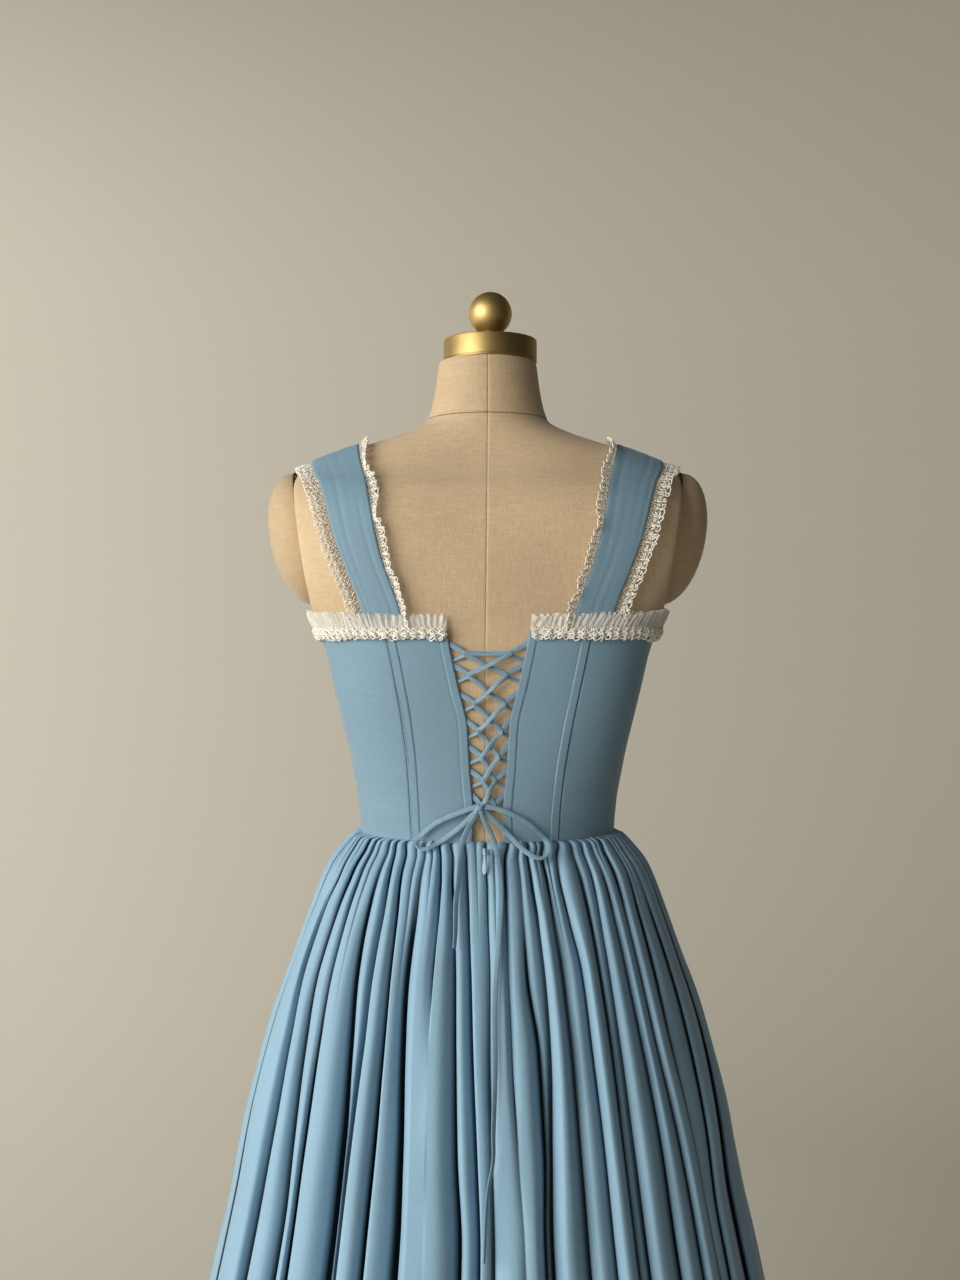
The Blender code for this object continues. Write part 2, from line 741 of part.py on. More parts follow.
def fold_steps(index):
    """Where the columns of a fold stand across it."""
    fold = FOLDS[index]
    following = FOLDS[(index + 1) % len(FOLDS)]
    if fold[6]:
        return GATHERED_STEPS
    if fold[0].startswith("front") or following[2] - fold[2] < NARROW_FOLD:
        return FEW_STEPS
    return PLAIN_STEPS


def build_skirt():
    """Three gathered panels, which meet at the zip and at the two side seams."""
    names = [fold[0] for fold in FOLDS]
    panels = [
        ("skirt_back_left", "side_left", "zip"),
        ("skirt_back_right", "zip", "side_right"),
        ("skirt_front", "side_right", "side_left"),
    ]
    for name, first, last in panels:
        start = names.index(first)
        end = names.index(last) or len(FOLDS)
        columns = [(i, v) for i in range(start, end) for v in fold_steps(i)]
        rows = []
        for z in SKIRT_HEIGHTS:
            row = [skirt_point(i, v, z) for i, v in columns]
            row[0] = skirt_point(start, 0.0, z, SEAM_GAP / 2)
            row.append(skirt_point(end - 1, 1.0, z, -SEAM_GAP / 2))
            rows.append(row)
        add_sheet(name, rows, SKIRT_WALL, "blue")


def back_point(x, z, out):
    """A point over the form's back, that far outside its skin."""
    return skin(skin_angle(x, z, out), z, out)


def ribbon_points(centres, width, thickness):
    """Sections of a flat ribbon with mitred corners, facing away from the back."""
    sections = []
    for k, centre in enumerate(centres):
        before = (centre - centres[max(k - 1, 0)]).normalized()
        after = (centres[min(k + 1, len(centres) - 1)] - centre).normalized()
        along = (before + after).normalized()
        flat = Vector((centre.x * RIBBON_FACING, -1.0, 0.0)).normalized()
        side = along.cross(flat).normalized()
        reach = max(along.dot(after if k < len(centres) - 1 else before), MITRE_LIMIT)
        half = side * (width / 2 / reach)
        face = side.cross(along).normalized() * (thickness / 2)
        sections.append(
            [centre - half + face, centre + half + face, centre + half - face, centre - half - face]
        )
    return sections


def add_ribbon(name, centres, width, thickness, finish):
    """A flat ribbon along a route."""
    return add_loft(name, ribbon_points(centres, width, thickness), finish)


def build_loop_tapes():
    """Zigzag tapes along the laced edges, seven loops on each side."""
    for name, side, column in (("left", -1, 1), ("right", 1, 2)):
        heights = [row[0] for row in LINKS]
        between = [(a + b) / 2 for a, b in zip(heights, heights[1:])]
        between = [heights[0] + TAPE_BEYOND_LOOPS, *between, heights[-1] - TAPE_BEYOND_LOOPS]
        route = []
        for k, z in enumerate(between):
            edge = smooth_row(LACED_GAP, z)[0] - TAPE_INSET
            route.append(back_point(side * edge, z, TAPE_OUT))
            if k < len(LINKS):
                route.append(back_point(LINKS[k][column], LINKS[k][0], TAPE_OUT))
        add_ribbon("loop_tape_" + name, route, TAPE_WIDTH, TAPE_THICKNESS, "blue")


def lacing_half(first_side):
    """One strand from its top link down to the knot."""
    corners = []
    for k in range(len(LINKS) - 1):
        side = first_side if k % 2 == 0 else -first_side
        x = LINKS[k][1 if side < 0 else 2] + side * THROUGH_LOOP
        corners.append((x, LINKS[k][0], side))
    route = [back_point(corners[0][0], corners[0][1], LINK_OUT)]
    for (x0, z0, side), (x1, z1, _) in zip(corners, corners[1:]):
        out = OVER_OUT if side > 0 else UNDER_OUT
        for f in CROSSING_SHARES:
            route.append(back_point(x0 + (x1 - x0) * f, z0 + (z1 - z0) * f, out))
        route.append(back_point(x1, z1, LINK_OUT))
    end_x = KNOT_X - first_side * LACE_ENDS_APART / 2
    route.append(back_point(end_x, KNOT_Z + KNOT_SIZE[2] / 2 - LACE_UNDER_KNOT, LINK_OUT))
    return route


def build_lacing():
    """One lace: the bar between the top links and a crossing strand from each end."""
    left = lacing_half(-1)
    right = lacing_half(1)
    bar = [back_point(x, LINKS[0][0] + BAR_RISE, LINK_OUT) for x in BAR_AT]
    add_ribbon("lacing", left[::-1] + bar + right, RIBBON_WIDTH, RIBBON_THICKNESS, "blue")


def bow_route(pairs):
    """A bow loop's centre line, resting in front of bodice and skirt."""
    route = []
    for x, z in pairs:
        y = min(
            envelope(x, max(z, WAIST_Z)) - BOW_OUT + BODICE_OUT,
            envelope(x, z - BOW_LOOKS_BELOW) - BOW_LIES_OUT,
        )
        route.append(Vector((x, y, z)))
    return route


def build_bow():
    """The knot with its two loops, as one solid."""
    surface = envelope(KNOT_X, KNOT_Z)
    centre = Vector((KNOT_X, surface - KNOT_OUT + BODICE_OUT, KNOT_Z))
    mesh = bpy.data.meshes.new("bow")
    shape = bmesh.new()
    bmesh.ops.create_cube(shape, size=1.0)
    bmesh.ops.scale(shape, vec=KNOT_SIZE, verts=shape.verts)
    bmesh.ops.bevel(
        shape, geom=shape.edges, offset=KNOT_ROUND, segments=2, profile=0.5, affect="EDGES"
    )
    bmesh.ops.translate(shape, vec=centre, verts=shape.verts)
    shape.to_mesh(mesh)
    shape.free()
    knot = add_object("bow", mesh, "blue")
    for name, pairs in (("bow_loop_left_guide", BOW_LEFT), ("bow_loop_right_guide", BOW_RIGHT)):
        loop = add_ribbon(name, bow_route(pairs), RIBBON_WIDTH, RIBBON_THICKNESS, "blue")
        loop.hide_render = True
        loop.display_type = "WIRE"
        join = knot.modifiers.new(name, "BOOLEAN")
        join.operation = "UNION"
        join.object = loop


def curve_between(points, step):
    """Points along a Catmull-Rom curve through a route."""
    ends = [points[0] * 2 - points[1]] + points + [points[-1] * 2 - points[-2]]
    made = []
    for a, b, c, d in zip(ends, ends[1:], ends[2:], ends[3:]):
        count = max(1, round((c - b).length / step))
        for k in range(count):
            f = k / count
            made.append(
                0.5 * (2 * b + (c - a) * f + (2 * a - 5 * b + 4 * c - d) * f**2
                       + (3 * b - a - 3 * c + d) * f**3)
            )
    return made + [points[-1]]


def tail_route(pairs):
    """A tail's centre line: down from the knot, then along the skirt's slope."""
    route = []
    for x, z in pairs:
        hanging = envelope(x, max(z, WAIST_Z)) - TAIL_OUT + BODICE_OUT
        lying = envelope(x, z) - TAIL_LIES_OUT
        ahead = envelope(x, z - TAIL_LOOKS_BELOW) - TAIL_AHEAD_OUT
        route.append(Vector((x, min(hanging, lying, ahead), z)))
    return curve_between(route, TAIL_STEP)


def build_tails():
    """The lace's two free ends."""
    for name, pairs in (("tie_tail_left", TAIL_LEFT), ("tie_tail_right", TAIL_RIGHT)):
        data = bpy.data.curves.new(name, "CURVE")
        data.dimensions = "3D"
        data.bevel_depth = TAIL_RADIUS
        data.bevel_resolution = 2
        data.use_fill_caps = True
        points = tail_route(pairs)
        spline = data.splines.new("POLY")
        spline.points.add(len(points) - 1)
        for target, point in zip(spline.points, points):
            target.co = (*point, 1.0)
        piece = bpy.data.objects.new(name, data)
        bpy.context.scene.collection.objects.link(piece)
        data.materials.append(material("blue"))


def cloth_y(x, z):
    """The -Y surface of the skirt's cloth between its rows of points."""
    if z >= WAIST_Z:
        return envelope(x, z)
    low = max(height for height in SKIRT_HEIGHTS if height <= z)
    high = min(height for height in SKIRT_HEIGHTS if height > z)
    depths = []
    for height in (low, high):
        points = [skirt_point(i, v, height) for i in ZIP_FOLDS for v in fold_steps(i)]
        after = next(k for k, point in enumerate(points) if point.x > x)
        a, b = points[after - 1], points[after]
        depths.append(a.y + (b.y - a.y) * (x - a.x) / (b.x - a.x))
    share = (z - low) / (high - low)
    return depths[0] * (1 - share) + depths[1] * share


def rest_y(x, z, width):
    """Where the middle of a small piece of that width lies on the skirt's cloth."""
    return min(cloth_y(x + width * share, z) for share in (-0.5, 0.0, 0.5))


def slope(high, z):
    """Angle from straight down, outwards, of the way from a point to the skirt."""
    rest = rest_y(high.x, z, PULL_WIDTH) - PULL_THICKNESS / 2 - PULL_GAP
    return math.atan2(high.y - rest, high.z - z)


def build_slider():
    """The zip's slider on the slope below the seam, and the hinge in front of it."""
    top = Vector((ZIP_X, rest_y(ZIP_X, SLIDER_TOP_Z, SLIDER_SIZE[0]), SLIDER_TOP_Z))
    low_z = SLIDER_TOP_Z - SLIDER_SIZE[2] / 2
    lean = math.atan2(top.y - rest_y(ZIP_X, low_z, SLIDER_SIZE[0]), top.z - low_z)
    mesh = bpy.data.meshes.new("zip_slider")
    shape = bmesh.new()
    bmesh.ops.create_cube(shape, size=1.0)
    bmesh.ops.scale(shape, vec=SLIDER_SIZE, verts=shape.verts)
    bmesh.ops.bevel(shape, geom=shape.edges, offset=SLIDER_ROUND, segments=1, affect="EDGES")
    shape.to_mesh(mesh)
    shape.free()
    slider = add_object("zip_slider", mesh, "enamel")
    slider.rotation_euler = (-lean, 0.0, 0.0)
    away = Vector((0.0, -math.cos(lean), math.sin(lean)))
    down = Vector((0.0, -math.sin(lean), -math.cos(lean)))
    slider.location = (
        top + down * (SLIDER_SIZE[2] / 2) + away * (SLIDER_SIZE[1] / 2 + SEAM_GAP)
    )
    hinge = bpy.data.objects.new("zip_hinge", None)
    bpy.context.scene.collection.objects.link(hinge)
    in_front = SEAM_GAP + SLIDER_SIZE[1] + PULL_GAP + PULL_THICKNESS / 2
    hinge.location = top + down * (SLIDER_SIZE[2] - PULL_OVER_SLIDER) + away * in_front
    return hinge


def build_zip():
    """Slider, and the teardrop pull that hangs from it with its tip on the skirt."""
    hinge = build_slider()
    tilt = 0.0
    for _ in range(8):
        tilt = slope(hinge.location, hinge.location.z - PULL_LENGTH * math.cos(tilt))
    hinge.rotation_euler = (-tilt, 0.0, 0.0)
    sections = []
    for along, wide, deep in reversed(PULL_OUTLINE):
        half = PULL_WIDTH / 2 * wide
        thick = PULL_THICKNESS / 2 * deep
        flat = half * PULL_FLAT
        ring = [(-half, 0), (-flat, -thick), (flat, -thick), (half, 0)]
        ring += [(flat, thick), (-flat, thick)]
        sections.append([Vector((x, y, -PULL_LENGTH * along)) for x, y in ring])
    pull = add_loft("zip_pull", sections, "enamel")
    pull.parent = hinge


def main():
    """Builds the dress and its form."""
    for old in list(bpy.data.objects):
        bpy.data.objects.remove(old, do_unlink=True)
    tree = dense_skin()
    build_form()
    build_bodice()
    for name, side in (("left", -1), ("right", 1)):
        build_strap(tree, name, side)
    build_neckline()
    build_skirt()
    build_loop_tapes()
    build_lacing()
    build_bow()
    build_tails()
    build_zip()


main()
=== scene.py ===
"""Looks of the lace midi dress on its dress form, in metres, in the frame of its CAD.

Angles run from the centre back (0 degrees) towards +X, as in the part's own source.
"""

import math

import bpy
import numpy as np
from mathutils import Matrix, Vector
from mathutils.bvhtree import BVHTree


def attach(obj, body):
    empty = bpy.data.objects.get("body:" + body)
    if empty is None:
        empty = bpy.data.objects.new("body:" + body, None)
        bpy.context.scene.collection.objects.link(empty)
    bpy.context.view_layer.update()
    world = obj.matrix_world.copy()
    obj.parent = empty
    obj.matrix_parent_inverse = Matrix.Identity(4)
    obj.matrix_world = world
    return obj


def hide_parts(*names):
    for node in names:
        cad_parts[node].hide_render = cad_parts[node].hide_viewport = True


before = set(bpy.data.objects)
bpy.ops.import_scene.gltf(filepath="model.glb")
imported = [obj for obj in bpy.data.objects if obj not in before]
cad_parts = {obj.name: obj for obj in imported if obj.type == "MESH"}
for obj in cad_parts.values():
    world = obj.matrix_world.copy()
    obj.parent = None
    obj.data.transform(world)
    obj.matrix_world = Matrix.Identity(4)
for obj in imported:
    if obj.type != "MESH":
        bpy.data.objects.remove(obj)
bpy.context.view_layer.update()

SIDES = (("left", -1), ("right", 1))

# ---- Sizes that repeat the part's source ----
WAIST_Z = 1.0435
HEM_Z = 0.26
BODICE_TOP_Z = 1.225
BODICE_OUT = 0.0034
NECK_TOP_Z = 1.4695
FORM_BOTTOM_Z = 0.79

# Height, half width, depth to the back, depth to the front, squareness of the back
BODY = [
    (0.79, 0.15, 0.108, 0.104, 2.0),
    (0.84, 0.163, 0.118, 0.112, 2.0),
    (0.9, 0.155, 0.111, 0.108, 2.0),
    (0.96, 0.135, 0.097, 0.097, 2.0),
    (1.0, 0.1195, 0.087, 0.088, 2.0),
    (1.04, 0.1119, 0.0804, 0.0804, 2.0),
    (1.07, 0.1133, 0.0814, 0.0836, 2.35),
    (1.107, 0.1192, 0.0845, 0.0901, 2.8),
    (1.144, 0.127, 0.0885, 0.098, 3.2),
    (1.18, 0.1352, 0.0922, 0.1055, 3.4),
    (1.217, 0.1453, 0.0952, 0.1105, 3.4),
    (1.25, 0.165, 0.0962, 0.11, 3.3),
    (1.29, 0.186, 0.0936, 0.103, 3.2),
    (1.33, 0.194, 0.0868, 0.092, 2.9),
    (1.35, 0.19, 0.078, 0.081, 2.6),
    (1.361, 0.179, 0.0685, 0.07, 2.35),
    (1.375, 0.16, 0.059, 0.061, 2.15),
    (1.3925, 0.115, 0.052, 0.054, 2.05),
    (1.403, 0.081, 0.0495, 0.051, 2.0),
    (1.4158, 0.0555, 0.048, 0.049, 2.0),
    (1.44, 0.0485, 0.046, 0.0465, 2.0),
    (1.4695, 0.0444, 0.043, 0.043, 2.0),
]

# Height and half width of the laced gap
LACED_GAP = [
    (1.04, 0.0135),
    (1.07, 0.0128),
    (1.107, 0.0158),
    (1.144, 0.018),
    (1.18, 0.026),
    (1.217, 0.0335),
    (1.225, 0.0345),
]

# Height and distance from the middle of the side back seams, left and right
SEAMS = [
    (1.043, 0.0662, 0.061),
    (1.06, 0.0667, 0.0616),
    (1.099, 0.0684, 0.065),
    (1.139, 0.0722, 0.0712),
    (1.185, 0.0795, 0.0805),
    (1.225, 0.088, 0.0885),
]

# Skirt outline over the ridges: height, half width, half depth
SKIRT = [
    (0.26, 0.335, 0.325),
    (0.38, 0.308, 0.296),
    (0.5, 0.282, 0.268),
    (0.632, 0.2531, 0.237),
    (0.741, 0.2292, 0.211),
    (0.8144, 0.2142, 0.194),
    (0.888, 0.194, 0.172),
    (0.9425, 0.1745, 0.15),
    (0.979, 0.161, 0.134),
    (1.0157, 0.146, 0.114),
    (1.034, 0.1316, 0.0948),
    (1.0405, 0.1246, 0.089),
    (1.0435, 0.1153, 0.0838),
]

# The skirt's folds. Each starts at a valley and ends at the next one: the valley's
# angle at the heights in FOLD_Z, its depth and how far the ridge after it stays back
# at the heights in DEPTH_Z (mm), how far the ridge hangs over the valley (mm), where
# the ridge peaks across the fold, and how round it falls to the next valley. OUT is a
# ridge that stays nowhere back.
FOLD_Z = (1.0435, 1.03, 1.012, 0.985, 0.945, 0.885, 0.81, 0.745, 0.26)
DEPTH_Z = (1.032, 1.005, 0.96, 0.885, 0.8, 0.26)
OUT = (0, 0, 0, 0, 0, 0)
BACK_FOLDS = [
    ("side_left", (-88, -87, -86, -86, -86, -86, -86, -86, -86),
     (4, 6, 10, 14, 16, 30), OUT, 1.5, 0.3, 2.8),
    ("crease_a", (-77, -74, -73, -74, -76, -75, -74, -72, -74),
     (3, 4, 6, 8, 10, 26), OUT, 1.5, 0.4, 3.4),
    ("fold_c", (-64.8, -62.2, -60.5, -62.6, -62.4, -57.9, -55.6, -56.0, -58),
     (7, 9, 24, 32, 36, 46), OUT, 4.0, 0.15, 2.2),
    ("fold_d", (-56.0, -53.1, -52.8, -54.0, -54.2, -50.6, -47.3, -46.0, -48),
     (10, 13, 12, 18, 26, 36), (1, 1, 1, 1, 1, 2), 3.0, 0.3, 2.4),
    ("fold_e", (-51.8, -48.9, -48.1, -48.8, -48.4, -45.7, -43.9, -43.5, -41),
     (8, 8, 8, 10, 14, 26), OUT, 2.0, 0.14, 2.4),
    ("fold_f1", (-43.5, -40.2, -39.5, -39.4, -38.2, -34.7, -32.3, -32.0, -34),
     (6, 9, 16, 26, 32, 38), (1, 3, 8, 16, 28, 30), 2.0, 0.3, 2.1),
    ("fold_f2", (-40.0, -36.5, -34.5, -33.3, -32.8, -31.1, -30.8, -31.0, -30),
     (8, 14, 22, 32, 48, 58), OUT, 4.5, 0.18, 2.5),
    ("fold_g", (-35.2, -31.3, -30.0, -28.7, -27.5, -25.8, -25.0, -25.2, -24),
     (8, 11, 14, 18, 20, 34), (2, 3, 4, 5, 5, 6), 2.5, 0.15, 1.6),
    ("fold_h", (-26.3, -23.5, -22.9, -22.4, -22.1, -20.4, -18.5, -17.9, -18),
     (6, 9, 15, 24, 28, 36), OUT, 2.0, 0.36, 3.4),
    ("fold_i", (-19.8, -17.1, -15.5, -15.1, -15.3, -14.5, -13.5, -13.0, -12.0),
     (8, 14, 10, 1, 0.5, 12), OUT, 3.0, 0.12, 3.1),
    ("fold_j", (-15.2, -12.6, -11.6, -10.1, -8.8, -7.7, -6.7, -5.5, -6),
     (7, 11, 18, 22, 24, 38), (2, 3, 4, 4, 4, 6), 3.0, 0.28, 2.4),
    ("fold_k", (-9.2, -7.7, -6.8, -5.9, -4.8, -3.7, -2.4, -1.6, -2.4),
     (8, 10, 15, 22, 26, 40), (0, 0, 1, 1, 3, 3), 3.0, 0.2, 2.4),
    ("zip", (-1.0, -0.9, -0.3, -0.2, 0.2, 0.1, 0.5, 0.8, 0.8),
     (3, 4, 6, 8, 10, 18), OUT, 1.2, 0.75, 2.8),
    ("fold_m", (8.2, 5.9, 5.3, 5.1, 5.0, 5.1, 6.0, 6.8, 6.0),
     (8, 14, 18, 12, 4, 14), (0, 0, 1, 1, 1, 2), 3.0, 0.36, 3.2),
    ("fold_n", (12.5, 10.8, 10.6, 10.5, 10.4, 12.0, 12.0, 11.2, 11.0),
     (4, 4, 10, 24, 34, 40), (1, 2, 5, 14, 26, 30), 1.5, 0.4, 1.8),
    ("fold_o", (16.2, 14.5, 14.3, 15.1, 15.4, 14.7, 13.2, 12.4, 13.5),
     (8, 10, 13, 22, 34, 42), OUT, 4.5, 0.42, 2.8),
    ("fold_p", (23.0, 19.8, 19.7, 19.9, 20.2, 20.0, 19.7, 19.8, 19.0),
     (8, 14, 24, 26, 24, 34), (2, 3, 5, 6, 5, 4), 4.0, 0.52, 3.1),
    ("fold_q", (29.8, 25.5, 23.8, 24.7, 26.2, 25.4, 25.2, 25.2, 25.0),
     (7, 10, 22, 24, 20, 32), OUT, 4.0, 0.46, 2.9),
    ("fold_r", (35.2, 33.0, 32.5, 32.4, 31.8, 30.8, 30.2, 30.4, 31.0),
     (6, 9, 14, 18, 20, 20), (2, 4, 7, 12, 16, 14), 1.5, 0.48, 2.5),
    ("fold_s", (40.8, 37.9, 36.9, 36.0, 34.8, 33.1, 32.3, 32.5, 33.5),
     (7, 9, 13, 18, 22, 34), OUT, 3.5, 0.44, 2.8),
    ("fold_s2", (45.5, 43.2, 42.2, 41.8, 41.1, 40.2, 40.2, 40.1, 41.0),
     (4, 8, 18, 22, 18, 28), (0, 0, 1, 1, 1, 1), 4.0, 0.52, 2.9),
    ("fold_t", (52.5, 48.9, 47.8, 47.2, 46.2, 45.0, 45.8, 46.6, 47.0),
     (8, 14, 15, 18, 20, 32), OUT, 4.0, 0.44, 2.8),
    ("fold_u", (58.5, 56.9, 55.6, 54.0, 52.7, 50.8, 51.5, 52.0, 53.0),
     (4, 8, 12, 9, 6, 18), (2, 3, 3, 4, 4, 4), 2.0, 0.44, 2.5),
    ("fold_v", (66.0, 62.7, 62.0, 61.6, 61.4, 59.5, 57.5, 55.5, 57.0),
     (4, 7, 12, 13, 15, 28), (1, 2, 3, 3, 3, 2), 2.5, 0.46, 2.7),
    ("fold_w", (76.0, 74.5, 73.5, 73.0, 72.0, 70.2, 66.1, 63.3, 66.0),
     (3, 5, 12, 20, 26, 36), OUT, 4.0, 0.42, 3.1),
]
# The hidden folds: the valley's angle at the waist and from mid skirt down, its depth
# near the waist and at the hem, how far the ridge stays back (mm), the overhang (mm),
# the peak's place and the fall's roundness
FRONT_FOLDS = [
    ("side_right", 88.0, 85.0, 9, 28, 0, 2.0, 0.2, 1.7),
    ("front_1", 99.0, 97.0, 12, 30, 0, 2.0, 0.28, 1.7),
    ("front_2", 110.0, 107.0, 15, 26, 2, 3.0, 0.17, 1.9),
    ("front_3", 121.0, 118.0, 10, 34, 0, 2.0, 0.21, 1.5),
    ("front_4", 131.0, 129.0, 17, 22, 3, 2.0, 0.28, 1.7),
    ("front_5", 142.0, 141.0, 14, 36, 0, 1.0, 0.3, 1.9),
    ("front_6", 152.0, 152.0, 18, 24, 1, 3.0, 0.17, 1.5),
    ("front_7", 163.0, 162.0, 11, 32, 0, 1.5, 0.28, 1.7),
    ("front_8", 174.0, 175.0, 16, 22, 4, 2.5, 0.21, 1.7),
    ("front_9", 185.0, 186.0, 13, 34, 0, 3.0, 0.15, 1.5),
    ("front_10", 196.0, 198.0, 18, 26, 1, 1.5, 0.25, 1.7),
    ("front_11", 207.0, 208.0, 12, 36, 0, 3.0, 0.17, 1.7),
    ("front_12", 217.0, 220.0, 17, 24, 3, 1.5, 0.28, 1.5),
    ("front_13", 228.0, 231.0, 14, 34, 0, 2.5, 0.2, 1.7),
    ("front_14", 240.0, 243.0, 18, 24, 1, 3.0, 0.17, 1.7),
    ("front_15", 251.0, 254.0, 11, 32, 0, 1.5, 0.25, 1.7),
    ("front_16", 261.0, 264.0, 14, 22, 1, 2.0, 0.21, 1.7),
]

# Straps: angle round the shoulder, centre from the middle, half width
STRAP = [
    (-23.0, 0.086, 0.0166),
    (-11.0, 0.0906, 0.0164),
    (13.0, 0.105, 0.0166),
    (27.0, 0.1125, 0.0176),
    (43.0, 0.1195, 0.0186),
    (58.0, 0.1265, 0.0198),
    (73.0, 0.1338, 0.0208),
    (90.0, 0.138, 0.0212),
]
STRAP_CORE_Z = 1.26

# Lacing: height, left link and right link from the middle
LINKS = [
    (1.205, -0.0191, 0.0183),
    (1.187, -0.0157, 0.0149),
    (1.1626, -0.0106, 0.013),
    (1.1397, -0.007, 0.0104),
    (1.1176, -0.0048, 0.0078),
    (1.0972, -0.0036, 0.0054),
    (1.076, -0.0044, 0.0044),
]
KNOT = (-0.0082, 1.071)
BOW_LEFT = [
    (-0.0072, 1.0762), (-0.0193, 1.0722), (-0.0426, 1.062), (-0.056, 1.051),
    (-0.061, 1.044), (-0.0585, 1.0395), (-0.052, 1.0395), (-0.04, 1.0455),
    (-0.0228, 1.059), (-0.008, 1.0738),
]
BOW_RIGHT = [
    (-0.006, 1.0762), (0.006, 1.074), (0.02, 1.069), (0.0365, 1.059),
    (0.049, 1.0465), (0.0516, 1.0385), (0.0475, 1.0335), (0.04, 1.0335),
    (0.029, 1.04), (0.017, 1.052), (0.006, 1.063), (-0.0062, 1.0738),
]
TAIL_LEFT = [
    (-0.0082, 1.0722), (-0.0104, 1.068), (-0.0158, 1.06), (-0.0202, 1.05),
    (-0.0232, 1.038), (-0.0249, 1.0164), (-0.0268, 1.0006), (-0.027, 0.9786),
    (-0.0278, 0.9666),
]
TAIL_RIGHT = [
    (-0.006, 1.0722), (-0.005, 1.068), (-0.0012, 1.06), (0.003, 1.051),
    (0.007, 1.0391), (0.0096, 1.0234), (0.0103, 1.0038), (0.009, 0.983),
    (0.0077, 0.9657), (0.0049, 0.9283), (0.0048, 0.8771), (0.0035, 0.8337),
    (0.0033, 0.8145), (-0.0012, 0.789), (-0.0034, 0.7511), (-0.0038, 0.743),
]
RIBBON_WIDTH = 0.0046
RIBBON_THICK = 0.0013


# ---- Shapes ----
def curve(table, key, c):
    """Column c of a table at a key, on a curve without overshoot."""
    rows = np.array(sorted(row[0:1] + row[c:c + 1] for row in table), float)
    x, y = rows[:, 0], rows[:, 1]
    h = np.diff(x)
    d = np.diff(y) / h
    m = np.zeros_like(x)
    m[0], m[-1] = d[0], d[-1]
    same = d[:-1] * d[1:] > 0
    m[1:-1][same] = (2 * d[:-1] * d[1:])[same] / (d[:-1] + d[1:])[same]
    key = np.clip(key, x[0], x[-1])
    i = np.clip(np.searchsorted(x, key, side="right") - 1, 0, len(x) - 2)
    f = (key - x[i]) / h[i]
    return (
        (2 * f**3 - 3 * f**2 + 1) * y[i] + (f**3 - 2 * f**2 + f) * h[i] * m[i]
        + (3 * f**2 - 2 * f**3) * y[i + 1] + (f**3 - f**2) * h[i] * m[i + 1]
    )


def arm_plane(z):
    """How far out the flat armhole side stands."""
    return 0.1557 + (z - 1.249) * 0.16


def skin(degrees, z, out=0.0):
    """Points on the form's skin, or that far outside it."""
    degrees, z, out = np.broadcast_arrays(np.asarray(degrees, float), z, out)
    t = np.radians(degrees)
    wide, back, front, square = (curve(BODY, z, c) for c in (1, 2, 3, 4))
    plane = np.where(z < 1.2, 1.0, arm_plane(z)) + out
    x = (wide + out) * np.sin(t)
    soft = 0.0014
    x = np.sign(x) * -soft * np.logaddexp(-np.abs(x) / soft, -plane / soft)
    cosine = np.cos(t)
    share = np.maximum(0, 1 - np.abs(np.sin(t)) ** square) ** (1 / square)
    bust = 0.016 * np.exp(-(((np.abs(x) - 0.066) / 0.044) ** 2) - ((z - 1.2) / 0.052) ** 2)
    y = np.where(
        cosine >= 0, -(back + out) * share, (front + out) * -cosine + bust * np.maximum(-cosine, 0)
    )
    return np.stack([x, y, z], -1)


def back_angle(x, z, out=0.0):
    """The angle at which the back of the skin is that far from the middle."""
    return np.degrees(np.arcsin(np.clip(x / (curve(BODY, z, 1) + out), -1, 1)))


def back_point(x, z, out):
    """Points over the form's back."""
    return skin(back_angle(x, z, out), z, out)


def envelope(x, z):
    """The -Y surface over the skirt's ridges, or of the bodice above the waist."""
    z = np.asarray(z, float)
    wide, deep = curve(SKIRT, z, 1), curve(SKIRT, z, 2)
    skirt = -deep * np.sqrt(1 - (np.asarray(x) / wide) ** 2)
    return np.where(z >= WAIST_Z, back_point(x, z, BODICE_OUT)[..., 1], skirt)


def smooth_path(points, step):
    """Points along a Catmull-Rom curve through a route."""
    points = [np.asarray(p, float) for p in points]
    ends = [2 * points[0] - points[1], *points, 2 * points[-1] - points[-2]]
    made = []
    for a, b, c, d in zip(ends, ends[1:], ends[2:], ends[3:]):
        count = max(1, round(float(np.linalg.norm(c - b)) / step))
        for f in np.arange(count) / count:
            made.append(
                0.5 * (2 * b + (c - a) * f + (2 * a - 5 * b + 4 * c - d) * f**2
                       + (3 * b - a - 3 * c + d) * f**3)
            )
    return np.array([*made, points[-1]])


def lengths(points):
    """Distance along a row of points."""
    return np.concatenate([[0], np.cumsum(np.linalg.norm(np.diff(points, axis=0), axis=1))])


def shares(path):
    """Distance along a row of points, as a share of the whole."""
    return lengths(path) / lengths(path)[-1]


def wander(count, step, seed):
    """A smooth random row between -1 and 1."""
    made = np.random.RandomState(seed).uniform(-1, 1, count + 2 * step)
    kernel = np.hanning(2 * step + 1)
    made = np.convolve(made, kernel / kernel.sum(), "same")[step:step + count]
    return made / max(np.abs(made).max(), 1e-9)


def bell(distance, width):
    """1 in the middle of a groove or a swell, falling off over its width."""
    return np.exp(-((distance / width) ** 2))


def spaced(*runs):
    """Evenly spaced values in several runs."""
    return np.concatenate([np.linspace(*run) for run in runs])


def unit(v):
    """Vectors of length 1 along these."""
    return v / np.maximum(np.linalg.norm(v, axis=-1, keepdims=True), 1e-12)


def new_object(name, data):
    """An object in the scene."""
    made = bpy.data.objects.new(name, data)
    bpy.context.scene.collection.objects.link(made)
    return made


def new_piece(name, points, faces, material):
    """A smooth mesh in the scene."""
    mesh = bpy.data.meshes.new(name)
    mesh.from_pydata(np.asarray(points, float).tolist(), [], faces)
    mesh.shade_smooth()
    mesh.materials.append(material)
    return new_object(name, mesh)


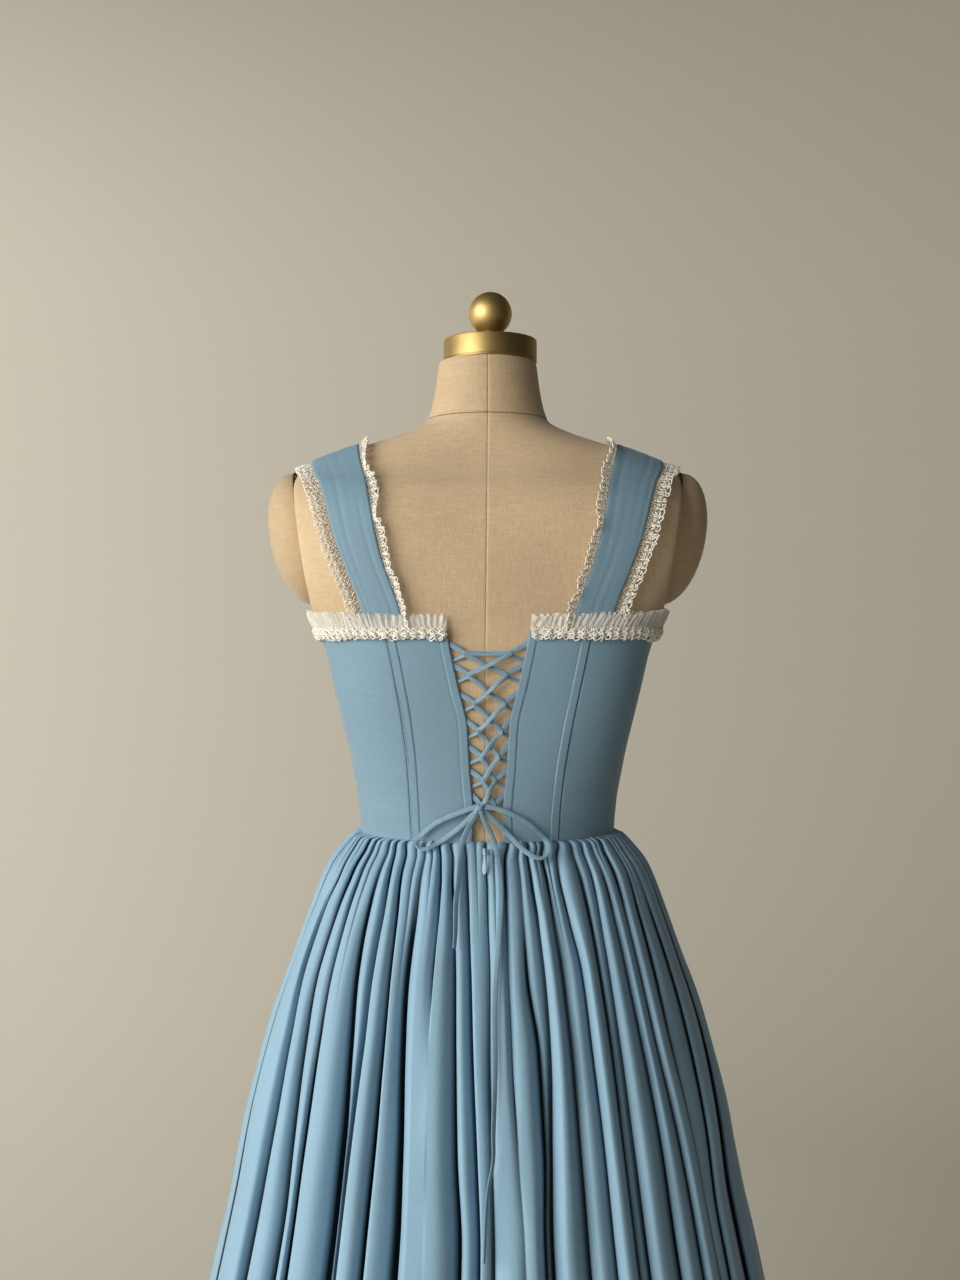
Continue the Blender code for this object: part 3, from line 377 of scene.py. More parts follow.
def add_mesh(
    name, points, faces, material, slot, node=None, body="dress_form", cloth=None, sharp=None
):
    """A piece that rides on a body and may take a CAD node's place; its slot is not used."""
    piece = new_piece(name, points, faces, material)
    mesh = piece.data
    if sharp:
        mesh.set_sharp_from_angle(angle=math.radians(sharp))
    if cloth is not None:
        place = mesh.attributes.new("cloth", "FLOAT_VECTOR", "POINT")
        place.data.foreach_set("vector", np.asarray(cloth, np.float32).ravel())
    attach(piece, body)
    if node:
        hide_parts(node)
    return piece


def grid_faces(rows, columns, closed=False):
    """Quads of a grid whose rows run up and whose columns run towards +X at the back."""
    last = columns if closed else columns - 1
    r, c = np.mgrid[0:rows - 1, 0:last]
    after = (c + 1) % columns
    low = r * columns
    quads = np.stack([low + c, low + after, low + columns + after, low + columns + c], -1)
    return quads.reshape(-1, 4).tolist()


def tube_faces(rows, columns):
    """Quads of a tube, with a flat cap at each end."""
    faces = grid_faces(rows, columns, closed=True)
    faces.append(tuple(reversed(range(columns))))
    faces.append(tuple(range((rows - 1) * columns, rows * columns)))
    return faces


def add_grid(name, points, material, slot, node=None, wall=0.0):
    """A sheet through rows of points, with its place on the cloth in metres."""
    rows, columns = points.shape[:2]
    cloth = np.zeros((rows, columns, 3))
    cloth[..., 0] = lengths(points[rows // 2])[None]
    cloth[..., 1] = (lengths(points[:, 0]) + lengths(points[:, columns // 2]))[:, None] / 2
    piece = add_mesh(
        name, points.reshape(-1, 3), grid_faces(rows, columns), material, slot, node,
        cloth=cloth.reshape(-1, 3),
    )
    if wall:
        modifier = piece.modifiers.new("wall", "SOLIDIFY")
        modifier.thickness = wall
        modifier.offset = -1.0
    return piece


# A ribbon's rounded section, in halves of its width and thickness
SECTION = [(1, 0), (0.92, 0.6), (0.6, 0.92), (0, 1), (-0.6, 0.92), (-0.92, 0.6)]
SECTION += [(-x, -y) for x, y in SECTION]


def ribbon_mesh(path, face, width, thick, section=SECTION):
    """Points and faces of a flat tube along a path, its broad side facing that way."""
    along = unit(np.gradient(path, axis=0))
    side = unit(np.cross(along, face))
    flat = unit(np.cross(side, along))
    width = np.broadcast_to(width, len(path))[:, None, None] / 2
    thick = np.broadcast_to(thick, len(path))[:, None, None] / 2
    shape = np.array(section)[None]
    rings = (
        path[:, None] + side[:, None] * shape[..., :1] * width
        + flat[:, None] * shape[..., 1:] * thick
    )
    return rings.reshape(-1, 3), tube_faces(len(path), len(section))


def joined(parts):
    """Several (points, faces) as one."""
    points, faces, start = [], [], 0
    for p, f in parts:
        points.append(p)
        faces += [tuple(i + start for i in face) for face in f]
        start += len(p)
    return np.concatenate(points), faces


# ---- Materials ----
class Finish:
    """A Principled material with a few procedural nodes."""

    def __init__(self, name, colour, roughness, metallic=0.0, specular=None, sheen=None):
        self.material = bpy.data.materials.new(name)
        self.material.use_nodes = True
        self.tree = self.material.node_tree
        self.shader = self.tree.nodes["Principled BSDF"]
        self.set("Base Color", (*colour, 1))
        self.set("Roughness", roughness)
        self.set("Metallic", metallic)
        if specular is not None:
            self.set("Specular IOR Level", specular)
        if sheen is not None:
            self.set("Sheen Weight", sheen)

    def set(self, socket, value):
        self.shader.inputs[socket].default_value = value

    def node(self, kind, inputs=(), **settings):
        made = self.tree.nodes.new(kind)
        for key, value in settings.items():
            setattr(made, key, value)
        for key, value in dict(inputs).items():
            if isinstance(value, bpy.types.NodeSocket):
                self.tree.links.new(value, made.inputs[key])
            else:
                made.inputs[key].default_value = value
        return made

    def link(self, output, socket):
        self.tree.links.new(output, self.shader.inputs[socket])

    def math(self, operation, a, b):
        return self.node("ShaderNodeMath", {0: a, 1: b}, operation=operation).outputs[0]

    def times(self, a, b):
        return self.math("MULTIPLY", a, b)

    def place(self, name=None):
        """Coordinates in metres: of the object, or of the cloth's own flat cut."""
        if name:
            return self.node("ShaderNodeAttribute", attribute_name=name).outputs["Vector"]
        return self.node("ShaderNodeTexCoord").outputs["Object"]

    def noise(self, place, scale, detail=2.0, stretch=(1, 1, 1)):
        mapped = self.node("ShaderNodeMapping", {"Vector": place, "Scale": stretch}).outputs[0]
        inputs = {"Vector": mapped, "Scale": scale, "Detail": detail}
        return self.node("ShaderNodeTexNoise", inputs).outputs["Fac"]

    def waves(self, place, scale, turn, distort):
        mapped = self.node("ShaderNodeMapping", {"Vector": place, "Rotation": turn}).outputs[0]
        inputs = {"Vector": mapped, "Scale": scale, "Distortion": distort}
        return self.node("ShaderNodeTexWave", inputs).outputs["Fac"]

    def spread(self, value, low, high, to_low, to_high):
        """A value's range stretched over another."""
        names = ("Value", "From Min", "From Max", "To Min", "To Max")
        inputs = dict(zip(names, (value, low, high, to_low, to_high)))
        return self.node("ShaderNodeMapRange", inputs).outputs[0]

    def colours(self, fac, dark, light, low=0.3, high=0.7):
        ramp = self.node("ShaderNodeValToRGB", {"Fac": fac})
        for end, at, colour in zip(ramp.color_ramp.elements, (low, high), (dark, light)):
            end.position, end.color = at, (*colour, 1)
        self.link(ramp.outputs["Color"], "Base Color")
        return ramp.outputs["Color"]

    def bump(self, height, strength, distance):
        inputs = {"Height": height, "Strength": strength, "Distance": distance}
        self.link(self.node("ShaderNodeBump", inputs).outputs[0], "Normal")


def scaled(colour, k):
    """A colour made darker or lighter."""
    return tuple(min(1.0, v * k) for v in colour)


def cloth_finish(name, colour, painted_shade=False):
    """The dress's smooth, softly shining twill; painted shade makes it almost black where the
    mesh's shade attribute says so.
    """
    sheen, specular = 0.22, 0.32
    made = Finish(name, colour, 0.62, 0.0, specular, sheen)
    made.set("Sheen Roughness", 0.45)
    made.set("Sheen Tint", (0.8, 0.92, 1.0, 1))
    at = made.place("cloth")
    broad, fine = made.noise(at, 9.0, 3.0), made.noise(at, 260.0, 2.0)
    tone = made.math("ADD", made.times(broad, 0.65), made.times(fine, 0.35))
    lit = made.colours(tone, scaled(colour, 0.93), scaled(colour, 1.06))
    if painted_shade:
        # Painted shade: the cloth goes almost black, with less sheen and shine, where the skirt's
        # mesh marks it
        depth = made.node("ShaderNodeAttribute", attribute_name="painted_fold_shade").outputs["Fac"]
        mixed = made.node(
            "ShaderNodeMix", {6: lit, 7: (*scaled(colour, 0.03), 1), 0: depth},
            data_type="RGBA", blend_type="MIX",
        )
        made.link(mixed.outputs[2], "Base Color")
        outside_painted_shade = made.math("SUBTRACT", 1.0, depth)
        made.link(made.times(outside_painted_shade, sheen), "Sheen Weight")
        made.link(made.times(outside_painted_shade, specular), "Specular IOR Level")
    twill = made.waves(at, 190.0, (0, 0, math.radians(58)), 0.6)
    slub = made.noise(at, 420.0, 1.0, (1, 0.25, 1))
    made.bump(made.math("ADD", made.times(twill, 0.5), slub), 0.16, 0.0004)
    return made.material


def plain_finish(name, colour, dark, light, scale, detail=2.0, bump=None, sockets=(), **settings):
    """A finish between two tones, with a bump of its noise's scale, detail, strength, depth."""
    made = Finish(name, colour, **settings)
    for socket, value in dict(sockets).items():
        made.set(socket, value)
    at = made.place()
    made.colours(made.noise(at, scale, detail), dark, light)
    if bump:
        made.bump(made.noise(at, *bump[:2]), *bump[2:])
    return made.material


BLUE = (0.198, 0.326, 0.424)
CREAM = (0.9, 0.86, 0.76)
# The skirt's cloth is the bodice's blue made 1.36 times lighter: painted light for its upturned
# folds; its folds also get painted shade
skirt_cloth = cloth_finish("skirt_cloth", scaled(BLUE, 1.36), painted_shade=True)
bodice_cloth = cloth_finish("bodice_cloth", (0.199, 0.321, 0.41))
lace_thread = plain_finish(
    "lace_thread", CREAM, scaled(CREAM, 0.88), scaled(CREAM, 1.05), 500.0,
    bump=(1800.0, 1.0, 0.35, 0.0004), roughness=0.85, specular=0.25, sheen=0.15,
)
rouleau_cloth = plain_finish(
    "rouleau_cloth", BLUE, scaled(BLUE, 0.95), scaled(BLUE, 1.12), 300.0,
    bump=(1500.0, 1.0, 0.2, 0.0003), roughness=0.6, specular=0.35, sheen=0.25,
)
blue_thread = plain_finish(
    "blue_thread", scaled(BLUE, 0.72), scaled(BLUE, 0.6), scaled(BLUE, 0.85), 900.0, roughness=0.6
)
iron = plain_finish(
    "dark_iron", (0.05, 0.046, 0.042), (0.04, 0.037, 0.034), (0.062, 0.057, 0.052), 40.0, 3.0,
    bump=(300.0, 2.0, 0.15, 0.0006), roughness=0.5, metallic=0.4,
)
enamel = plain_finish(
    "pale_enamel", (0.52, 0.66, 0.76), (0.5, 0.64, 0.74), (0.56, 0.7, 0.8), 200.0,
    sockets={"Coat Weight": 0.5}, roughness=0.25,
)
blue_enamel = plain_finish(
    "blue_enamel", (0.4, 0.54, 0.64), (0.38, 0.52, 0.62), (0.42, 0.56, 0.66), 300.0, roughness=0.35
)
# Near-black strip: painted shade in the gaps round the caps
gap_shade = plain_finish(
    "painted_gap_shade", (0.035, 0.022, 0.012), (0.03, 0.018, 0.01), (0.045, 0.028, 0.016), 300.0,
    roughness=0.95,
)
seam_thread = plain_finish(
    "seam_thread", (0.22, 0.15, 0.085), (0.19, 0.13, 0.07), (0.25, 0.17, 0.1), 300.0, roughness=0.9
)


def ground_finish():
    """The lace's fine ground, dense but not closed."""
    colour = (0.84, 0.79, 0.68)
    made = Finish("lace_ground", colour, 0.9, specular=0.2)
    at = made.place()
    made.colours(made.noise(at, 900.0, 1.0), scaled(colour, 0.8), colour)
    made.link(made.spread(made.noise(at, 620.0, 1.0), 0.4, 0.52, 0.15, 0.95), "Alpha")
    return made.material


lace_ground = ground_finish()


def canvas_finish(name, colour):
    """Plain tan canvas: a visible weave, slubs and a little uneven tone."""
    made = Finish(name, colour, 0.8, specular=0.3, sheen=0.22)
    at = made.place()
    upright = made.noise(at, 620.0, 2.0, (1, 1, 0.12))
    level = made.noise(at, 620.0, 2.0, (0.12, 0.12, 1))
    threads = made.math("ADD", made.times(upright, 0.5), made.times(level, 0.5))
    broad = made.times(made.noise(at, 9.0, 3.0), 0.45)
    tone = made.math("ADD", broad, made.times(threads, 0.55))
    made.colours(tone, scaled(colour, 0.84), scaled(colour, 1.12), 0.36, 0.64)
    warp = made.noise(at, 900.0, 1.0, (1, 1, 0.2))
    weft = made.noise(at, 900.0, 1.0, (0.2, 0.2, 1))
    made.bump(made.math("ADD", warp, weft), 0.4, 0.0006)
    return made.material


canvas = canvas_finish("tan_canvas", (0.595, 0.442, 0.272))
# The caps take the torso's canvas made about 0.87 times as light: painted shade
cap_canvas = canvas_finish("cap_canvas", (0.515, 0.38, 0.23))


def brass_finish(name, colour, roughness):
    """Brushed brass, uneven in tone and shine."""
    made = Finish(name, colour, roughness, 1.0)
    at = made.place()
    made.colours(made.noise(at, 60.0, 4.0), scaled(colour, 0.82), scaled(colour, 1.05))
    rough = made.spread(made.noise(at, 90.0, 3.0), 0.0, 1.0, roughness - 0.05, roughness + 0.08)
    made.link(rough, "Roughness")
    made.bump(made.noise(at, 700.0, 1.0, (1, 1, 0.1)), 0.04, 0.0003)
    return made.material


brass = brass_finish("aged_brass", (0.7, 0.51, 0.21), 0.49)
ring_brass = brass_finish("ring_brass", (0.47, 0.34, 0.135), 0.5)


def tulle_finish():
    """Off-white net, seen through where it lies in one layer."""
    colour = (0.92, 0.89, 0.82)
    made = Finish("tulle_net", colour, 0.8, specular=0.2, sheen=0.5)
    at = made.place("cloth")
    made.colours(made.noise(at, 400.0, 1.0), scaled(colour, 0.93), scaled(colour, 1.05))
    streak = made.noise(at, 700.0, 2.0, (1, 0.06, 1))
    made.link(made.spread(streak, 0.3, 0.7, 0.26, 0.68), "Alpha")
    made.bump(streak, 0.3, 0.0006)
    return made.material


tulle = tulle_finish()


# ---- Camera, floor and light ----
def turned_rings(profile, sides, off_centre=0.0):
    """Rings of points round the upright axis, for a profile of radius and height."""
    a = np.arange(sides) * math.tau / sides
    return [
        np.stack([off_centre + r * np.sin(a), -r * np.cos(a), np.full(sides, z)], -1)
        for r, z in profile
    ]


CAMERA_PLACE = (-0.0069, -1.27, 1.217)
CAMERA_LENS = 39.1


def build_stage():
    """Camera at the photograph's angle, a plain pale bowl round the form, soft light."""
    lens = bpy.data.cameras.new("camera")
    lens.lens = CAMERA_LENS
    camera = new_object("camera", lens)
    camera.location = CAMERA_PLACE
    camera.rotation_euler = (math.pi / 2, 0, 0)
    bpy.context.scene.camera = camera
    flat, cove, top, sides = 2.2, 2.6, 5.2, 96
    profile = [(1.2, 0.0), (flat, 0.0)]
    profile += [
        (flat + cove * math.sin(a), cove - cove * math.cos(a))
        for a in np.radians(np.arange(5, 91, 5))
    ]
    profile += [(flat + cove, 3.6), (flat + cove, top)]
    rings = turned_rings(profile, sides)
    points = np.concatenate([*rings, [[0, 0, 0]]])
    faces = [tuple(reversed(f)) for f in grid_faces(len(rings), sides, closed=True)]
    faces += [(sides * len(rings), k, (k + 1) % sides) for k in range(sides)]
    # The bowl darkens towards +X on the camera's side: painted shade, so that it lends little light
    # and the brass reflects dark there
    backdrop = Finish("pale_paper", (0.52, 0.49, 0.42), 0.95, specular=0.1)
    away = backdrop.node(
        "ShaderNodeVectorMath", {0: backdrop.place(), 1: (0.85, -0.53, 0.0)},
        operation="DOT_PRODUCT",
    )
    shade = backdrop.spread(away.outputs["Value"], 1.5, 3.2, 0.0, 1.0)
    backdrop.colours(shade, (0.52, 0.49, 0.421), (0.1, 0.095, 0.085))
    new_piece("backdrop", points, faces, backdrop.material)
    world = bpy.data.worlds.new("world")
    world.use_nodes = True
    sky = world.node_tree.nodes["Background"].inputs
    sky[0].default_value, sky[1].default_value = (0.92, 0.95, 1.0, 1), 0.03
    bpy.context.scene.world = world
    # Name, place, aim, width, height, power in watts, colour
    lamps = [
        ("window", (-2.73, -1.96, 2.0), (0.0, 0.05, 1.1), 3.2, 2.2, 150.0, (1.0, 0.985, 0.95)),
        ("curtain", (-2.5, 0.55, 1.45), (0.0, 0.0, 1.05), 2.0, 2.4, 6.0, (1.0, 0.985, 0.95)),
        ("room", (0.9, -3.7, 1.5), (0.0, 0.0, 1.05), 3.0, 2.2, 15.0, (1.0, 0.985, 0.96)),
        ("wall_wash", (-2.0, 1.4, 2.8), (-0.6, 4.8, 1.5), 1.6, 1.6, 88.0, (1.0, 0.98, 0.94)),
    ]
    for name, place, aim, wide, high, power, colour in lamps:
        light = bpy.data.lights.new(name, "AREA")
        light.shape = "RECTANGLE"
        light.size, light.size_y = wide, high
        light.energy, light.color = power, colour
        lamp = new_object(name, light)
        lamp.location = place
        lamp.visible_glossy = name != "room"
        lamp.rotation_euler = (Vector(aim) - Vector(place)).to_track_quat("-Z", "Y").to_euler()
    bpy.context.scene.view_settings.view_transform = "Standard"
    bpy.context.scene.view_settings.exposure = 0.0


build_stage()


# ---- The lace's two tails ----
# How far the knot's middle and the tails' tops stand off the form, and the tails off the cloth
KNOT_OUT = 0.0085
TAIL_OUT = 0.0114
TAIL_RISE = 0.0026


def tail_path(pairs):
    """A tail's centre line, down from the knot and along the skirt's slope."""
    points = []
    for x, z in pairs:
        high = max(z, WAIST_Z)
        hanging = float(envelope(x, high)) - TAIL_OUT + BODICE_OUT
        lying = float(envelope(x, z)) - TAIL_RISE
        ahead = float(envelope(x, z - 0.004)) - TAIL_RISE + 0.0011
        points.append((x, min(hanging, lying, ahead), z))
    return smooth_path(points, 0.002)


def build_tails():
    """The two free ends of the lace, turning a little as they hang."""
    right = [(0, 0.3), (0.35, -0.1), (0.62, 0.35), (0.78, 0.95), (1, 1.2)]
    for name, pairs, turns in (
        ("lace_tail_left", TAIL_LEFT, [(0, 0.5), (0.3, 0.15), (0.7, 0.45), (1, 0.9)]),
        ("lace_tail_right", TAIL_RIGHT, right),
    ):
        path = tail_path(pairs)
        turn = np.interp(shares(path), *zip(*turns))
        face = np.stack([np.sin(turn), -np.cos(turn), np.zeros(len(path))], -1)
        width = RIBBON_WIDTH * np.interp(shares(path), [0, 0.04, 0.97, 1], [0.8, 1, 1, 0.9])
        tape = ribbon_mesh(path, face, width, RIBBON_THICK)
        piece = add_mesh(name, *tape, rouleau_cloth, "blue_lacing", "tie_" + name[5:])


build_tails()


# ---- The dress form ----
def dense(values, marks, spread):
    """Values with extra ones close to each mark."""
    extra = [mark + d for mark in marks for d in spread]
    return np.unique(np.round(np.concatenate([values, extra]), 6))


SEAM_X = -0.0025
NECK_SEAM_Z = 1.4176


def build_torso():
    """The canvas torso, with its centre back seam, neck seam and the lip under the ring."""
    spread = np.array([-0.0016, -0.0008, -0.0003, 0.0, 0.0003, 0.0008, 0.0016])
    z = spaced((FORM_BOTTOM_Z, 1.03, 14), (1.04, 1.19, 16), (1.194, NECK_TOP_Z, 74))
    z = dense(z, [NECK_SEAM_Z], spread)
    angles = dense(np.arange(0, 360, 2.25), [0.0, 180.0], np.degrees(spread / 0.09))
    angles = np.unique(angles % 360)
    aa, zz = np.meshgrid(angles, z)
    seam = 0.0003 + SEAM_X * np.clip((1.43 - zz) / 0.22, 0, 1)
    shift = np.degrees(seam / np.maximum(curve(BODY, zz, 1), 0.04))
    near_back = np.minimum(aa, 360 - aa)
    shift = shift * bell(near_back, 30)
    points = skin(aa + shift, zz)
    off_back = np.abs(np.sin(np.radians(aa))) * curve(BODY, zz, 1)
    dent = 0.0005 * bell(off_back, 0.0005)
    dent = dent + 0.001 * bell(zz - NECK_SEAM_Z, 0.0006)
    lip = np.clip((zz - 1.4665) / 0.003, 0, 1)
    dent = dent + 0.0008 * lip**3
    inward = np.stack([-np.sin(np.radians(aa)), np.cos(np.radians(aa)), 0 * aa], -1)
    points = points + inward * dent[..., None]
    faces = tube_faces(*points.shape[:2])
    add_mesh(
        "torso_canvas", points.reshape(-1, 3), faces, canvas, "canvas", "form_torso", sharp=50
    )
    around = skin(np.arange(0, 361, 5), NECK_SEAM_Z, -0.0007)
    sewn = ribbon_mesh(around, unit(around * [1.0, 1.0, 0.0]), 0.0006, 0.0006, SECTION[::2])
    add_mesh("neck_seam", *sewn, seam_thread, "canvas")


def build_caps():
    """Padded caps: a soft dome over each armhole plate, with a dark gap of painted shade round it.
    """
    sides, middle, high, wide = 48, 1.309, 0.06, 0.044
    # Size of each ring, and how far it stands off the plate
    lifts = [(0.962, 0.0003), (0.986, 0.0004), (0.997, 0.001), (1.0, 0.0018)]
    lifts += [
        (math.cos(a) ** 0.95, 0.0018 + 0.0309 * math.sin(a))
        for a in np.radians(np.arange(8, 89, 8))
    ]
    for name, side in SIDES:
        a = side * np.arange(sides) * math.tau / sides
        rings = []
        for size, bulge in lifts:
            z = middle + high * size * np.cos(a)
            x = side * (arm_plane(z) + 0.0004 + bulge)
            rings.append(np.stack([x, -wide * size * np.sin(a), z], -1))
        add_mesh(
            "cap_canvas_" + name, np.concatenate(rings), tube_faces(len(rings), sides),
            cap_canvas, "canvas", "form_cap_" + name, sharp=60,
        )
        # Round each cap, a near-black strip: painted shade in the gap
        z = middle + high * np.cos(a)
        path = np.stack([side * (arm_plane(z) + 0.0006), -wide * np.sin(a), z], -1)
        path = np.concatenate([path, path[:2]])
        face = np.broadcast_to([float(side), 0.0, 0.0], path.shape)
        gap = ribbon_mesh(path, face, 0.0017, 0.0013)
        add_mesh("cap_gap_" + name, *gap, gap_shade, "canvas")


def turned(name, profile, sides, node, material, off_centre=0.0, slot="brass"):
    """A piece that is turned round an upright axis."""
    points = np.concatenate(turned_rings(profile, sides, off_centre))
    faces = tube_faces(len(profile), sides)
    add_mesh(name, points, faces, material, slot, node, sharp=32)


# The neck ring and the ball stand a little off the middle
RING_X = 0.0025
BALL_RADIUS = 0.0197
BALL_Z = 1.5148


def build_brass():
    """Neck ring, ball finial, pole and base, from profiles of radius and height."""
    low = NECK_TOP_Z + 0.0003
    high = low + 0.0202
    profile = [
        (0.0395, low), (0.042, low), (0.0424, low + 0.0003), (0.0425, low + 0.0007),
        (0.0425, low + 0.0012), (0.0421, low + 0.0015), (0.0421, low + 0.0019),
        (0.0425, low + 0.0022), (0.0425, high - 0.0012), (0.0423, high - 0.0004),
        (0.0417, high), (0.03, high + 0.0002), (0.012, high + 0.0003),
    ]
    turned("neck_ring_brass", profile, 72, "form_neck_ring", ring_brass, RING_X)
    stem = [(0.006, high + 0.0003), (0.0086, high + 0.0006), (0.0088, high + 0.0016)]
    ball = [
        (BALL_RADIUS * math.cos(a), BALL_Z + BALL_RADIUS * math.sin(a))
        for a in np.radians(np.linspace(-62, 88, 26))
    ]
    turned("finial_brass", stem + ball, 48, "form_finial", brass, RING_X)
    pole = [
        (0.0158, 0.058), (0.016, 0.059), (0.016, 0.42), (0.0157, 0.4204),
        (0.0157, 0.4212), (0.016, 0.4216), (0.016, 0.7885), (0.0158, 0.7895),
    ]
    turned("pole_brass", pole, 40, "form_pole", brass)
    base = [
        (0.179, 0.0), (0.18, 0.001), (0.18, 0.008), (0.1785, 0.0105),
        (0.1755, 0.012), (0.15, 0.0126), (0.05, 0.0129), (0.034, 0.0132),
        (0.0285, 0.017), (0.026, 0.024), (0.0246, 0.035), (0.024, 0.0555), (0.0232, 0.0568),
    ]
    turned("base_iron", base, 72, "form_base", iron, slot="iron")


build_torso()
build_caps()
build_brass()


# ---- Bodice ----
def gap_x(z):
    """Half width of the laced gap."""
    return curve(LACED_GAP, z, 1)


def seam_x(z, side):
    """Distance of a side back seam from the middle."""
    return curve(SEAMS, z, 1 if side < 0 else 2)


def ridge(distance, centre, half, edge):
    """1 inside a strip and 0 outside it, with soft edges."""
    return 1 / (1 + np.exp((np.abs(distance - centre) - half) / edge))


def bodice_out(x, z, side):
    """How far the back of the bodice stands out from the form, with strips and seams."""
    from_seam = seam_x(z, side) - np.abs(x)
    from_edge = np.abs(x) - gap_x(z)
    out = BODICE_OUT + 0.0007 * ridge(from_seam, 0.0039, 0.0038, 0.0003)
    out = out - 0.0009 * bell(from_seam, 0.0006) - 0.0004 * bell(from_seam - 0.0079, 0.0006)
    out = out + 0.0006 * ridge(from_edge, 0.0036, 0.0038, 0.0003)
    out = out - 0.0004 * bell(from_edge - 0.0076, 0.0006)
    return out


PANEL_WALL = 0.0016
# The angle of the front seams
FRONT_SEAM = 138.0
SEAM_GAP = 0.07


def panel_heights(count):
    """Heights from the waist seam to the top edge, closer together at both ends."""
    inner = np.linspace(WAIST_Z + 0.004, BODICE_TOP_Z - 0.002, count)
    ends = [WAIST_Z + 0.0003, WAIST_Z + 0.0012], [BODICE_TOP_Z - 0.0008, BODICE_TOP_Z]
    return np.concatenate([ends[0], inner, ends[1]])


def build_back_panel(name, side):
    """A back panel between the laced edge and the side back seam."""
    z = panel_heights(60)
    share = spaced((0, 0.16, 18), (0.18, 0.78, 26), (0.8, 1.0, 20))
    if side < 0:
        share = share[::-1]
    ss, zz = np.meshgrid(share, z)
    low, high = gap_x(zz), seam_x(zz, side) - 0.00015
    x = side * (low + (high - low) * ss)
    out = bodice_out(x, zz, side)
    edge = np.clip(1 - (np.abs(x) - low) / 0.0007, 0, 1)
    out = out - 0.0007 * edge**2
    broad = np.sin(zz * 61 + 2.0 * side) * 0.00018 + np.sin(zz * 147 + 40 * x) * 0.0001
    out = out + broad * (1 - edge)
    piece = add_grid(
        "back_panel_" + name, back_point(x, zz, out), bodice_cloth, "blue_bodice",
        "bodice_back_" + name, PANEL_WALL,
    )


def build_side_panel(name, side):
    """A side panel from the side back seam round under the arm to the front seam."""
    z = panel_heights(84)
    start = back_angle(seam_x(z, side) + 0.00015, z, BODICE_OUT)
    share = spaced((0, 0.05, 10), (0.06, 0.96, 64), (0.97, 1, 6))
    if side < 0:
        share = share[::-1]
    ss, zz = np.meshgrid(share, z)
    end = FRONT_SEAM - SEAM_GAP
    angle = start[:, None] + (end - start[:, None]) * ss
    place = skin(side * angle, zz, BODICE_OUT)
    from_seam = (angle - start[:, None]) / 180 * math.pi * 0.125
    out = BODICE_OUT - 0.0007 * bell(from_seam, 0.0007)
    out = out - 0.0006 * bell((end - angle) * 0.0022, 0.0007)
    pulled = bell(from_seam - 0.035, 0.03)
    pull = np.sin(zz * 820 + 3 * np.sin(place[..., 0] * 60) + 2.0 * np.sin(zz * 130))
    pull = pull * (0.6 + 0.4 * np.sin(zz * 210 + 1.3))
    amount = 0.00022 if side < 0 else 0.00012
    out = out + amount * pulled * pull + np.sin(zz * 75 + 2) * 0.0002
    piece = add_grid(
        "side_panel_" + name, skin(side * angle, zz, out), bodice_cloth, "blue_bodice",
        "bodice_side_" + name, PANEL_WALL,
    )


def build_front_panel():
    """The hidden front, shaped over the bust, with two dart lines."""
    z = panel_heights(60)
    start = FRONT_SEAM + SEAM_GAP
    angle = start + (360 - 2 * start) * spaced((0, 0.03, 6), (0.04, 0.96, 70), (0.97, 1, 6))
    aa, zz = np.meshgrid(angle, z)
    place = skin(aa, zz, BODICE_OUT)
    out = BODICE_OUT + 0 * aa
    for seam in (-0.052, 0.052):
        wide = seam * (1 + 0.35 * (zz - 1.13) / 0.09)
        out = out - 0.0008 * bell(place[..., 0] - wide, 0.0011)
        out = out + 0.0005 * ridge(np.abs(place[..., 0] - wide), 0.005, 0.004, 0.0005)
    out = out - 0.0006 * bell((aa - start) * 0.0022, 0.0007)
    out = out - 0.0006 * bell((360 - start - aa) * 0.0022, 0.0007)
    piece = add_grid(
        "front_panel", skin(aa, zz, out), bodice_cloth, "blue_bodice", "bodice_front", PANEL_WALL
    )


def build_stitches():
    """Rows of topstitching beside the laced edges and along the boning strips."""
    parts = []
    for side in (-1, 1):
        for offset, at_seam in ((0.0076, False), (0.0079, True), (0.0011, True)):
            for low in np.arange(WAIST_Z + 0.003, BODICE_TOP_Z - 0.002, 0.0031):
                ends = np.array([low, low + 0.0008, low + 0.0015, low + 0.0022])
                if at_seam:
                    x = side * (seam_x(ends, side) - offset)
                else:
                    x = side * (gap_x(ends) + offset)
                lift = np.array([-0.0002, 0.0002, 0.0002, -0.0002])
                path = back_point(x, ends, bodice_out(x, ends, side) + lift)
                face = np.broadcast_to([side * 0.3, -1.0, 0.0], path.shape)
                parts.append(ribbon_mesh(path, face, 0.0006, 0.0004, SECTION[::2]))
    add_mesh("bodice_stitches", *joined(parts), blue_thread, "blue_bodice")


for panel, hand in SIDES:
    build_back_panel(panel, hand)
    build_side_panel(panel, hand)
build_front_panel()
build_stitches()


